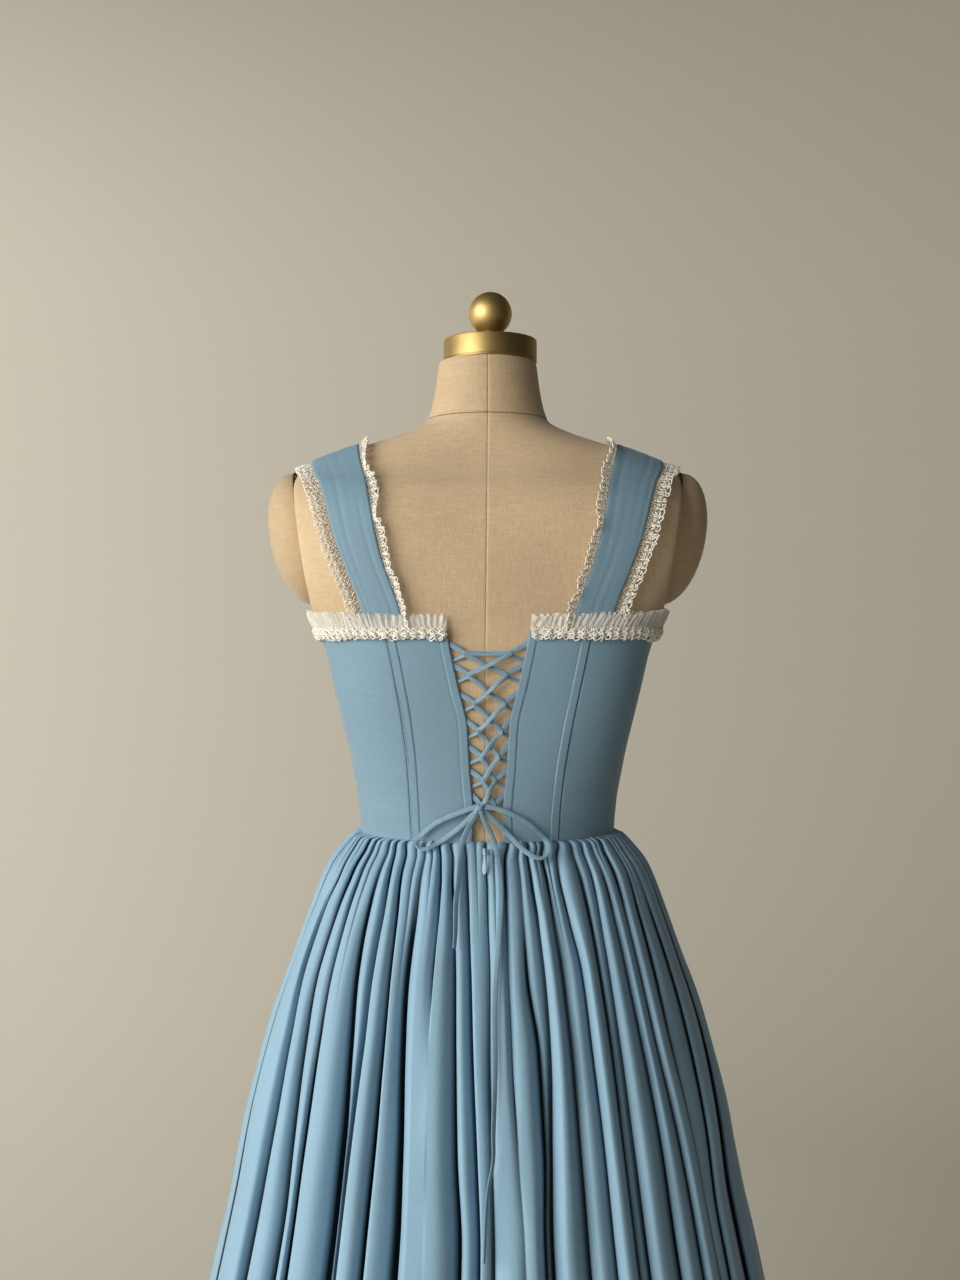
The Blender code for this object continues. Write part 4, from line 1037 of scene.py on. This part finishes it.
# ---- Shoulders: straps and their lace ----
def shoulder_map():
    """Places and normals of the right shoulder's skin, by angle round it and distance out."""
    z = np.linspace(1.17, 1.44, 109)
    aa, zz = np.meshgrid(np.arange(0, 360, 1.5), z)
    points = skin(aa, zz)
    tree = BVHTree.FromPolygons(
        points.reshape(-1, 3).tolist(), grid_faces(*points.shape[:2], closed=True)
    )
    degrees = np.linspace(-30, 210, 241)
    xs = np.linspace(0.055, 0.176, 45)
    place = np.zeros((len(degrees), len(xs), 3))
    normal = np.zeros_like(place)
    for i, degree in enumerate(degrees):
        a = math.radians(degree)
        away = Vector((0, -math.cos(a), math.sin(a)))
        for j, x in enumerate(xs):
            hit, facing = tree.ray_cast(Vector((x, 0, STRAP_CORE_Z)) + away * 0.4, -away)[:2]
            if hit is None or hit.z < STRAP_CORE_Z - 0.06:
                place[i, j] = place[i, j - 1] + [x - xs[j - 1], 0, 0]
                normal[i, j] = normal[i, j - 1]
            else:
                place[i, j], normal[i, j] = hit, facing
    kernel = np.array([1, 2, 3, 2, 1]) / 9
    for axis in (0, 1):
        padded = np.pad(normal, [(2, 2) if k == axis else (0, 0) for k in range(3)], "edge")
        normal = sum(
            k * np.take(padded, range(n, n + normal.shape[axis]), axis)
            for n, k in enumerate(kernel)
        )
    return degrees, xs, place, unit(normal)


DEGREES, ACROSS, PLACE, NORMAL = shoulder_map()


def on_shoulder(side, x, degrees, out):
    """Points over a shoulder, that far outside its skin."""
    x, degrees, out = np.broadcast_arrays(x, degrees, out)
    i = np.clip((degrees - DEGREES[0]) / (DEGREES[1] - DEGREES[0]), 0, len(DEGREES) - 1.001)
    j = np.clip((x - ACROSS[0]) / (ACROSS[1] - ACROSS[0]), 0, len(ACROSS) - 1.001)
    a, b = i.astype(int), j.astype(int)
    f, g = (i - a)[..., None], (j - b)[..., None]

    def mix(table):
        return (
            table[a, b] * (1 - f) * (1 - g) + table[a + 1, b] * f * (1 - g)
            + table[a, b + 1] * (1 - f) * g + table[a + 1, b + 1] * f * g
        )

    points = mix(PLACE) + unit(mix(NORMAL)) * out[..., None]
    points[..., 0] *= side
    return points


def strap_at(degrees, c):
    """Column c of the strap's table, mirrored over the shoulder's top."""
    return curve(STRAP, np.minimum(degrees, 180 - degrees), c)


STRAP_LOW = -21.0


def build_straps():
    """The straps, each with soft lengthwise creases and thin edges."""
    degrees = np.linspace(STRAP_LOW, 180 - STRAP_LOW, 150)
    share = np.linspace(-1, 1, 27)
    for name, side in SIDES:
        across = share if side > 0 else share[::-1]
        ss, dd = np.meshgrid(across, degrees)
        x = strap_at(dd, 1) + strap_at(dd, 2) * ss
        out = 0.004 + 0.0003 * np.sin(dd * 0.05 + side)
        for centre, width, depth in (
            (-0.8, 0.05, 0.0003), (-0.56, 0.09, 0.00045), (-0.12, 0.14, 0.0003),
            (0.38, 0.1, 0.0004), (0.74, 0.05, 0.0003),
        ):
            bend = centre + 0.07 * np.sin(dd * 0.028 + centre * 9 + side)
            fade = 0.55 + 0.45 * np.sin(dd * 0.045 + centre * 5 + 2 * side)
            out = out - depth * fade * bell(ss - bend, width)
        out = out - 0.001 * np.clip((np.abs(ss) - 0.93) / 0.07, 0, 1) ** 2
        piece = add_grid(
            "strap_cloth_" + name, on_shoulder(side, x, dd, out), bodice_cloth, "blue_bodice",
            "strap_" + name, 0.0013,
        )


build_straps()


# A lace band's net: the size of its cell
NET_CELL = 0.0023


def hexagons(length, width, cell=NET_CELL):
    """Points and six-sided cells of a net, along and across a strip."""
    dx, dy = cell * math.sqrt(3) / 2, cell * 0.75
    columns = int(length / (2 * dx))
    rows = max(2, round(width / dy))
    index, points, faces = {}, [], []
    for r in range(rows):
        for c in range(columns):
            cx = (2 * c + 1 + r % 2) * dx
            cy = (r + 0.5) * width / rows
            corners = []
            for k in range(6):
                a = math.radians(30 + 60 * k)
                px = cx + cell / 2 * math.cos(a) * 2 / math.sqrt(3) * 0.866
                py = cy + cell / 2 * math.sin(a)
                key = (round(px / dx * 2), round(py / cell * 4))
                if key not in index:
                    index[key] = len(points)
                    points.append((px, py))
                corners.append(index[key])
            if len(set(corners)) == 6:
                faces.append(tuple(corners))
    return np.array(points), faces


def add_net(name, surface, length, width, thread, seed, node):
    """A strip of net on a surface, a little uneven."""
    points, faces = hexagons(length, width)
    points = points + np.random.RandomState(seed).uniform(-0.22, 0.22, points.shape) * NET_CELL
    place = surface(points[:, 0], points[:, 1])
    piece = add_mesh(name, place, faces, lace_thread, "lace", node)
    wire = piece.modifiers.new("threads", "WIREFRAME")
    wire.thickness = thread
    wire.use_even_offset = False
    wire.use_replace = True
    return piece


def picots(surface, length, width, pitch, radius, thread, seed):
    """A row of small thread loops along the free edge, as points and faces."""
    random_state = np.random.RandomState(seed)
    parts = []
    at = pitch
    while at < length - pitch:
        size = radius * random_state.uniform(0.75, 1.3)
        lean = random_state.uniform(-0.5, 0.5)
        a = np.linspace(-0.35 * math.pi, 1.35 * math.pi, 9)
        along = at + size * np.cos(a) + lean * size * np.sin(a)
        across = width + size * 0.5 + size * 1.1 * np.sin(a)
        path = surface(along, across)
        face = np.broadcast_to([0.0, -1.0, 0.25], path.shape)
        parts.append(ribbon_mesh(path, face, thread, thread, SECTION[::2]))
        at += pitch * random_state.uniform(0.75, 1.25)
    return joined(parts)


def strap_lace_surface(side, outer, seed):
    """A gathered band along a strap's edge, as a function of the way along and across."""
    degrees = np.linspace(STRAP_LOW, 180 - STRAP_LOW, 400)
    edge = strap_at(degrees, 1) + (1 if outer else -1) * strap_at(degrees, 2) * 0.985
    line = on_shoulder(side, edge, degrees, 0.002)
    run = lengths(line)
    step = run[-1] / len(degrees) / 0.0078
    phase = np.cumsum(1 + 0.45 * wander(len(degrees), 12, seed)) * step
    stand = wander(len(degrees), 14, seed + 1)

    def surface(s, t):
        d = np.interp(s, run, degrees)
        x = np.interp(s, run, edge)
        wave = np.sin(math.tau * np.interp(s, run, phase))
        upright = np.interp(s, run, stand)
        tilt = math.radians(18) + math.radians(12) * upright
        if not outer:
            tilt = math.radians(44) + math.radians(22) * upright
        grow = np.clip(t / 0.01, 0, 1.3)
        reach = t * np.cos(tilt) + 0.0006 * wave * grow
        rise = 0.002 + t * np.sin(tilt) * 0.7 + 0.001 * (1 + wave) * grow
        way = 1 if outer else -1
        return on_shoulder(side, x + way * reach, d + 0.7 * wave * grow, rise)

    return surface, run[-1]


def build_strap_lace():
    """A gathered lace band along each edge of each strap."""
    seed = 11
    for name, side in SIDES:
        for where, width in (("outer", 0.01), ("inner", 0.008)):
            seed += 7
            surface, length = strap_lace_surface(side, where == "outer", seed)
            net = add_net(
                f"strap_net_{where}_{name}", surface, length, width, 0.00105, seed,
                "strap_lace_" + name if where == "outer" else None,
            )
            loops = joined([
                picots(surface, length, width, 0.0034, 0.0013, 0.0012, seed + 2),
                picots(surface, length, width * 0.62, 0.0038, 0.0011, 0.0011, seed + 3),
            ])
            edge = add_mesh(f"strap_picots_{where}_{name}", *loops, lace_thread, "lace")


build_strap_lace()


# ---- Neckline: gathered tulle and lace edging ----
def neckline_angles(count):
    """Angles from one laced edge round the front to the other."""
    start = float(back_angle(gap_x(BODICE_TOP_Z), BODICE_TOP_Z, BODICE_OUT))
    return np.linspace(start, 360 - start, count)


FRILL_SEAM_Z = 1.2262


def build_frill():
    """Off-white tulle in fine uneven gathers that fan out towards the top."""
    count = 1500
    angles = neckline_angles(count)
    flank = np.abs(np.sin(np.radians(angles))) ** 3
    right = np.maximum(0, np.sin(np.radians(angles))) ** 3
    for layer, (seed, lift, top) in enumerate(((3, 0.0, 1.2422), (5, 0.0012, 1.2405))):
        phase = np.cumsum(1 + 0.8 * wander(count, 11, seed)) * (math.tau * 150 / count)
        size = 0.75 + 0.65 * wander(count, 30, seed + 7)[None]
        broad = wander(count, 45, seed + 1)
        high = top + 0.0011 * wander(count, 6, seed + 2) + 0.0008 * wander(count, 50, seed + 9)
        high = high - 0.0032 + 0.0036 * flank + 0.0022 * right
        t = np.linspace(0, 1, 12)[:, None]
        z = FRILL_SEAM_Z + (high[None] - FRILL_SEAM_Z) * t
        z = z - 0.0008 * (1 - t) * np.sin(phase)[None]
        out = 0.0048 + lift - 0.0004 * t + 0.0013 * broad[None] * t - 0.0026 * right[None] * t
        out = out + (0.0004 + 0.0011 * t) * size * np.sin(phase + 0.7 * np.sin(5 * t))
        lean = 1.1 * t * wander(count, 20, seed + 4)[None]
        points = skin(angles[None] + lean, z, out)
        piece = add_grid(
            f"tulle_layer_{layer}", points, tulle, "tulle", None if layer else "tulle_frill"
        )


def edging_surface(seed):
    """The lace edging's band: down from the frill's seam, in small uneven waves."""
    count = 1200
    angles = neckline_angles(count)
    line = skin(angles, 1.227, 0.006)
    run = lengths(line)
    phase = np.cumsum(1 + 0.5 * wander(count, 12, seed)) * (run[-1] / count / 0.0085)
    drop = wander(count, 30, seed + 1)

    def surface(s, t):
        d = np.interp(s, run, angles)
        wave = np.sin(math.tau * np.interp(s, run, phase))
        low = np.interp(s, run, drop)
        grow = np.clip(t / 0.01, 0, 1.3)
        z = 1.2285 - t * (1 + 0.16 * low) + 0.0006 * wave * grow
        out = 0.0055 + 0.001 * np.sin(np.clip(t / 0.011, 0, 1) * math.pi)
        return skin(d + 0.35 * wave * grow, z, out + 0.0011 * (1 + wave) * grow)

    return surface, run[-1]


def wavy_cord(surface, length, middle, swing, pitch, thick, seed):
    """A thick thread that winds along a band."""
    s = np.arange(0.001, length - 0.001, 0.0007)
    step = 1 + 0.5 * wander(len(s), 10, seed)
    phase = np.cumsum(step) * (math.tau * 0.0007 / pitch)
    path = surface(s, middle + swing * np.sin(phase) + 0.0008 * wander(len(s), 14, seed + 1))
    outward = unit(path * [1.0, 1.0, 0.0])
    return ribbon_mesh(path + outward * 0.0006, outward, thick, thick * 0.8, SECTION[::2])


def build_edging():
    """The edging: a net, rows of loops, winding cords, and a dense ground under them."""
    surface, length = edging_surface(31)
    width = 0.0092
    net = add_net("edging_net", surface, length, width, 0.0011, 41, "lace_edging")
    # Way across the band, pitch, radius, thread, seed
    loops = joined([
        picots(surface, length, width * across, *row) for across, *row in (
            (1.0, 0.0036, 0.0014, 0.0013, 42), (0.55, 0.0042, 0.0013, 0.0012, 43),
            (0.15, 0.005, 0.0012, 0.0011, 44),
        )
    ])
    # Middle, swing, pitch, thickness, seed
    cords = [
        wavy_cord(surface, length, *row) for row in (
            (0.0048, 0.0023, 0.015, 0.0015, 51), (0.0048, -0.0023, 0.015, 0.0015, 51),
            (0.0084, 0.0011, 0.0078, 0.0013, 57),
        )
    ]
    edge = add_mesh("edging_picots", *joined([loops, *cords]), lace_thread, "lace")
    columns, rows = 900, 5
    s, t = np.meshgrid(
        np.linspace(0.001, length - 0.001, columns), np.linspace(0.0004, width * 0.86, rows)
    )
    strip = surface(s.ravel(), t.ravel()).reshape(-1, 3)
    add_mesh("edging_ground", strip, grid_faces(rows, columns), lace_ground, "lace")


build_frill()
build_edging()


# ---- Lacing ----
def build_loops():
    """Seven flat loops on each side, sewn under the laced edge."""
    for name, side, c in (("left", -1, 1), ("right", 1, 2)):
        parts = []
        for row in LINKS:
            z, link = row[0], row[c]
            high, low = z + 0.0088, z - 0.0052
            route = [
                back_point(side * (gap_x(high) + 0.003), high + 0.001, 0.0014),
                back_point(side * gap_x(high), high, 0.0018),
                back_point(link + side * 0.0032, z + 0.0026, 0.004),
                back_point(link, z + 0.0002, 0.0046),
                back_point(link + side * 0.0026, z - 0.0018, 0.0034),
                back_point(side * gap_x(low), low, 0.0016),
                back_point(side * (gap_x(low) + 0.003), low - 0.0006, 0.0012),
            ]
            path = smooth_path(route, 0.0009)
            share = shares(path)
            turn = np.interp(share, [0, 0.4, 0.55, 0.75, 1], [0.2, 0.3, 1.1, 0.5, 0.2])
            face = np.stack([side * np.sin(turn), -np.cos(turn), 0.25 + 0 * turn], -1)
            width = np.interp(
                share, [0, 0.35, 0.5, 0.7, 1], [0.0046, 0.0046, 0.003, 0.0032, 0.0036]
            )
            parts.append(ribbon_mesh(path, face, width, 0.001))
        add_mesh("loops_" + name, *joined(parts), rouleau_cloth, "blue_lacing", "loop_tape_" + name)


def strand(first):
    """One strand's route from its top link to the knot, with the way that it faces."""
    corners = []
    for k, (z, *links) in enumerate(LINKS):
        side = first if k % 2 == 0 else -first
        corners.append((links[side > 0], z, side))
    route = [(-first * 0.0006, corners[0][1] + 0.0004, 0.0048)]
    route.append((0.5 * corners[0][0], corners[0][1] + 0.0006, 0.005))
    route.append((corners[0][0] + first * 0.0004, corners[0][1] + 0.0004, 0.0052))
    for (x0, z0, side), (x1, z1, _) in zip(corners, corners[1:]):
        out = 0.0068 if side > 0 else 0.0046
        for f in (0.3, 0.5, 0.7):
            route.append((x0 + (x1 - x0) * f, z0 + (z1 - z0) * f, out))
        route.append((x1 - side * 0.0006, z1, 0.0052))
    route.append((KNOT[0] - first * 0.0008, KNOT[1] + 0.0032, 0.0066))
    return route


def build_lacing():
    """The two strands, each turning a little about itself."""
    parts = []
    for first in (-1, 1):
        route = strand(first)
        path = smooth_path([back_point(*p) for p in route], 0.001)
        run = lengths(path)
        turn = 0.55 * np.sin(run * 150 + first)
        face = np.stack([np.sin(turn) * 0.7, 0 * run - 1, 0.2 + 0.5 * np.cos(run * 150)], -1)
        parts.append(ribbon_mesh(path, face, 0.0041, 0.0014))
    add_mesh("lacing_rouleau", *joined(parts), rouleau_cloth, "blue_lacing", "lacing")


def bow_path(pairs):
    """A bow loop's centre line, over the bodice and the top of the skirt."""
    points = []
    for x, z in pairs:
        high = max(z, WAIST_Z)
        hanging = float(envelope(x, high)) - KNOT_OUT + BODICE_OUT
        lying = float(envelope(x, z - 0.003)) - 0.0024
        points.append((x, min(hanging, lying), z))
    return smooth_path(points, 0.0012)


def build_bow():
    """The bow's two loops, and three wraps of the knot."""
    parts = []
    for pairs, turns in (
        (BOW_LEFT, [(0, 0.1), (0.3, 0.25), (0.46, 0.9), (0.56, 1.0), (0.75, 0.5), (1, 0.3)]),
        (BOW_RIGHT, [(0, -0.1), (0.3, -0.2), (0.46, -0.8), (0.56, -1.0), (0.75, -0.4), (1, -0.2)]),
    ):
        path = bow_path(pairs)
        turn = np.interp(shares(path), *zip(*turns))
        face = np.stack([0.35 * np.sin(turn), -np.cos(turn), 0.6 * np.abs(np.sin(turn)) + 0.15], -1)
        parts.append(ribbon_mesh(path, face, RIBBON_WIDTH - 0.0002, RIBBON_THICK))
    x, z = KNOT
    y = float(envelope(x, z)) - KNOT_OUT + BODICE_OUT
    wraps = ((0.0044, 0.0012, 0.0024), (0.0026, 0.0004, 0.003), (0.0008, -0.0004, 0.0024))
    for dz, dx, wide in wraps:
        a = np.linspace(0, math.tau, 15)
        path = np.stack([
            x + dx + 0.0034 * np.cos(a), y + 0.0026 * np.sin(a),
            z + dz + 0.0012 * np.cos(a),
        ], -1)
        face = np.stack([np.cos(a), np.sin(a), 0.2 * np.ones(15)], -1)
        parts.append(ribbon_mesh(path, face, wide, 0.0018))
    add_mesh("bow_rouleau", *joined(parts), rouleau_cloth, "blue_lacing", "bow")


build_loops()
build_lacing()
build_bow()


# ---- Skirt ----
def all_folds():
    """The folds in order round the skirt, the hidden ones written out like the others."""
    folds = list(BACK_FOLDS)
    for name, waist, mid, near, hem, back, over, peak, fall in FRONT_FOLDS:
        blend = [max(0.0, 1 - (WAIST_Z - z) / 0.39) ** 2 for z in FOLD_Z]
        angles = tuple(mid + (waist - mid) * share for share in blend)
        grow = (0.55, 0.85, 1.1, 1.3, 1.4)
        depths = tuple(near * share for share in grow) + (hem,)
        folds.append((name, angles, depths, (0.3 * back,) * 2 + (back,) * 4, over, peak, fall))
    return folds


FOLDS = all_folds()
NAMES = [fold[0] for fold in FOLDS]

# The gathered top edge over the waist seam: height, how far out, and how much of
# the puffs' rise it takes
HEADING = [
    (1.044, -0.001, 0.0), (1.0437, 0.0001, 0.6), (1.0434, 0.001, 1.0), (1.0429, 0.0016, 0.8),
    (1.0422, 0.0018, 0.4), (1.0414, 0.0014, 0.2),
]
# The gathers: their pitch in degrees, their slits' depth, and how square the back hangs
GATHER_PITCH = 4.3
GATHER_DEPTH = 0.0062
BACK_SQUARE = 0.3


def chance(key):
    """A fixed number between 0 and 1 for a key."""
    return np.modf(np.abs(np.sin(np.asarray(key) * 12.9898 + 4.137)) * 437.585)[0]


def smooth_step(x, low, high):
    """A smooth rise from 0 to 1 between two values."""
    t = np.clip((x - low) / (high - low), 0, 1)
    return t * t * (3 - 2 * t)


def fold_columns(fold):
    """A fold's columns: fold, share across it, share across the gather, and the keys of
    the gather's two slits."""
    after = (fold + 1) % len(FOLDS)
    width = (FOLDS[after][1][0] - FOLDS[fold][1][0]) % 360
    count = max(1, round(width / GATHER_PITCH))
    edges = [0.0] + [
        (k + 0.55 * (chance(fold * 3.7 + k) - 0.5)) / count for k in range(1, count)
    ] + [1.0]
    keys = [fold * 7.31 + k * 2.17 for k in range(count)] + [after * 7.31]
    shares = [0, 0.03, 0.08, 0.15, 0.25, 0.37, 0.5, 0.63, 0.75, 0.85, 0.92, 0.97]
    if count == 1:
        shares = sorted(shares + [0.015, 0.055, 0.115, 0.2, 0.31, 0.44, 0.57, 0.69, 0.8, 0.985])
    columns = []
    for k in range(count):
        for w in shares:
            v = edges[k] + (edges[k + 1] - edges[k]) * w
            columns.append((fold, v, w, keys[k], keys[k + 1]))
    return columns


def skirt_points(columns, z, out, lift):
    """Points of the skirt at its columns, in rows by height, and the painted shade of its folds,
    zip line and slits.
    """
    index = np.array([c[0] for c in columns])
    v, w, left_key, right_key = (np.array([row], float) for row in list(zip(*columns))[1:])
    after = (index + 1) % len(FOLDS)
    angle, valley, ridge = (
        np.stack([curve(list(zip(heights, fold[c])), z, 1) for fold in FOLDS], -1) / unit_size
        for heights, c, unit_size in ((FOLD_Z, 1, 1), (DEPTH_Z, 2, 1000), (DEPTH_Z, 3, 1000))
    )
    over, peak, fall = (np.array([fold[i] for fold in FOLDS], float) for i in (4, 5, 6))
    z, out, lift = z[:, None], out[:, None], lift[:, None]
    u = np.clip((WAIST_Z - z) / (WAIST_Z - HEM_Z), 0, 1)
    start, end = angle[:, index], angle[:, after]
    end = end + 360.0 * (end < start)
    # The fold's section, from its own valley over the ridge to the next valley
    top = peak[index][None]
    up = 1 - (1 - np.clip(v / top, 0, 1)) ** 2
    down = 1 - np.clip((v - top) / (1 - top), 0, 1) ** fall[index][None]
    rising = v < top
    hill = np.where(rising, up, down)
    floor = np.where(rising, valley[:, index], valley[:, after])
    deep = floor + (ridge[:, index] - floor) * hill
    # The gathers below the waist seam: slits between small puffs
    gather = np.sin(math.pi * np.clip(w, 0, 1)) ** 0.45
    slit = 0
    for key, side in ((left_key, w < 0.5), (right_key, w >= 0.5)):
        reach = 0.022 + 0.085 * chance(key + 0.5) ** 1.6
        slit = slit + side * (0.55 + 0.45 * chance(key)) * np.exp(-((u / reach) ** 1.5))
    swell = (0.0018 * chance(left_key + 1.7) - 0.0006) * gather * bell(u, 0.05)
    notch = slit * (1 - gather)
    deep = deep + GATHER_DEPTH * notch - swell
    # Soft dents on the ridges, and no depth beyond the form near the waist
    soft = np.sin(u * 34 + index * 2.3) * np.sin(u * 13 + index) * smooth_step(u, 0.03, 0.2)
    deep = deep - 0.0008 * soft * hill + 0.0008 * hill * smooth_step(u, 0.03, 0.2)
    wide, half = curve(SKIRT, z, 1), curve(SKIRT, z, 2)
    puff = half - curve(SKIRT, WAIST_Z, 2)
    tucked = 0.0026 * smooth_step(WAIST_Z - z, 0.0001, 0.0016)
    deep = np.minimum(deep, 0.9 * puff + out + 0.0006 + tucked)
    # The place round the skirt, where ridges hang over their valleys
    sway = 0.25 * np.sin(u * 9 + index * 1.7) * np.sin(math.pi * u) * np.sin(math.pi * v)
    t = np.radians(start + (end - start) * v + sway)
    across = np.hypot(wide * np.cos(t), half * np.sin(t))
    back = np.cos(t) > 0
    square = np.where(back, 2 + BACK_SQUARE * smooth_step(u, 0.02, 0.12), 2.0)
    strength = smooth_step(u, 0.01, 0.1) / 1000
    hang = over[index][None] * np.clip((valley - ridge)[:, index] / 0.012, 0, 1)
    spread = np.clip((valley[:, after] - ridge[:, after]) / 0.012, 0, 1)
    hang_after = over[after][None] * spread
    shift = hang * (bell(v, 0.06) - 0.45 * bell(v - 0.16, 0.1))
    shift = shift + hang_after * bell(1 - v, 0.1) * (v > 0.5)
    t = t + shift * strength / across
    sine, cosine = np.sin(t), np.cos(t)
    cosine = np.where(back, np.maximum(0, 1 - np.abs(sine) ** square) ** (1 / square), cosine)
    normal = unit(np.stack([
        np.sign(sine) * np.abs(sine) ** (square - 1) / wide,
        -np.sign(cosine) * np.abs(cosine) ** (square - 1) / half, 0 * t,
    ], -1))
    # Behind, depth runs straight inward as the photograph sees it
    facing = smooth_step(np.cos(t), 0.05, 0.35)[..., None]
    inward = unit(normal * (facing - 1) + facing * [0.0, 1.0, 0.0])
    rise = lift * 0.0022 * chance(left_key + 3.3) ** 1.5 * gather
    points = np.stack([wide * sine, -half * cosine, z + rise + 0 * t], -1)
    points = points + normal * out[..., None] + inward * deep[..., None]
    # Painted shade: where a fold falls back into a deep valley, beside the zip and in the slits
    span = floor - ridge[:, index]
    side = smooth_step(sine, -0.25, 0.35)
    shade = smooth_step(1 - hill, 0.44 - 0.2 * side, 0.78 - 0.08 * side)
    shade = shade * smooth_step(span, 0.002, 0.01)
    shade = shade * np.where(rising, bell(v, 0.085), 1.0)
    zip_at = NAMES.index("zip")
    beside = np.where(index == zip_at, v, np.where(index == zip_at - 1, 1 - v, 1.0))
    shade = np.maximum(shade, 0.95 * bell(beside, 0.065))
    return points, np.maximum(shade, 0.95 * slit * (1 - gather) ** 1.6)


HEADING_END_Z = 1.0407


def build_skirt():
    """The skirt's three panels, from the gathered heading to the turned hem."""
    heading = np.array(HEADING)
    hang = HEADING_END_Z - (HEADING_END_Z - HEM_Z) * np.linspace(0, 1, 112) ** 1.5
    z = np.concatenate([heading[:, 0], hang, [HEM_Z + 0.0001, HEM_Z + 0.003, HEM_Z + 0.0245]])
    turned_in = [-0.0009, -0.0013, -0.0013]
    out = np.concatenate([heading[:, 1], [0.0008, 0.0003], 0 * hang[2:], turned_in])
    lift = np.concatenate([heading[:, 2], 0 * hang, [0, 0, 0]])
    for name, first, last, flat, area in (
        ("skirt_back_left", "side_left", "zip", (0.9, 0.82), 0.5),
        ("skirt_back_right", "zip", "side_right", (0.9, 0.82), 0.5),
        ("skirt_front", "side_right", "side_left", (1.75, 0.82), 0.98),
    ):
        start = NAMES.index(first)
        end = NAMES.index(last) or len(FOLDS)
        columns = [column for i in range(start, end) for column in fold_columns(i)]
        columns.append((end - 1, 1.0, 1.0, columns[-1][3], columns[-1][4]))
        points, shade = (rows[::-1] for rows in skirt_points(columns, z, out, lift))
        piece = add_grid(name + "_cloth", points, skirt_cloth, "blue_skirt", name)
        # Painted shade, per point, for the skirt's cloth to darken its valleys, the zip line and
        # the gathers' slits
        depth = piece.data.attributes.new("painted_fold_shade", "FLOAT", "POINT")
        depth.data.foreach_set("value", shade.ravel())


build_skirt()


# ---- Zip: slider and pull ----
SLIDER_SLOPE = (0.745, 0.667)
PULL_SLOPE = (0.6265, 0.7794)
PULL_HINGE = (-0.003, -0.094874, 1.038345)


def build_zip():
    """A small tapered slider, and the teardrop pull that moves on its own body."""
    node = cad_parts["zip_slider"]
    middle = np.mean([list(vertex.co) for vertex in node.data.vertices], axis=0)
    run, rise = SLIDER_SLOPE
    upward, face = np.array([0.0, run, rise]), np.array([0.0, -rise, run])
    # Way up the slider, how deep in the cloth, width, thickness
    along, deep, wide, thick = np.array([
        (0.0036, 0.0004, 0.0016, 0.0008), (0.003, 0.0, 0.0026, 0.0016),
        (0.0012, -0.0002, 0.0034, 0.002), (-0.0014, -0.0002, 0.0032, 0.002),
        (-0.0028, 0.0, 0.0026, 0.0016), (-0.0034, 0.0004, 0.0016, 0.001),
    ]).T
    path = middle + upward * along[:, None] - face * deep[:, None]
    body = ribbon_mesh(path, np.broadcast_to(face, path.shape), wide, thick)
    bridge = ribbon_mesh(
        path[1:5] + face * np.array([[0.001], [0.0019], [0.0019], [0.001]]),
        np.broadcast_to(face, (4, 3)), 0.0012, 0.0007,
    )
    add_mesh("slider_enamel", *joined([body, bridge]), blue_enamel, "enamel", "zip_slider")
    # Way down the pull, width, thickness
    along, wide, thick = np.array([
        (0.0, 0.0012, 0.0008), (0.002, 0.0018, 0.0012), (0.006, 0.0019, 0.0012),
        (0.01, 0.0026, 0.0013), (0.014, 0.0037, 0.0014), (0.0165, 0.0041, 0.0014),
        (0.019, 0.0036, 0.0013), (0.021, 0.0024, 0.0011), (0.0222, 0.001, 0.0007),
    ]).T
    run, drop = PULL_SLOPE
    downward, face = np.array([0.0, -run, -drop]), np.array([0.0, -drop, run])
    path = np.array(PULL_HINGE) + downward * along[:, None]
    tab = ribbon_mesh(path, np.broadcast_to(face, path.shape), wide, thick)
    add_mesh("pull_enamel", *tab, enamel, "enamel", "zip_pull", body="pull")


build_zip()

bpy.context.view_layer.update()
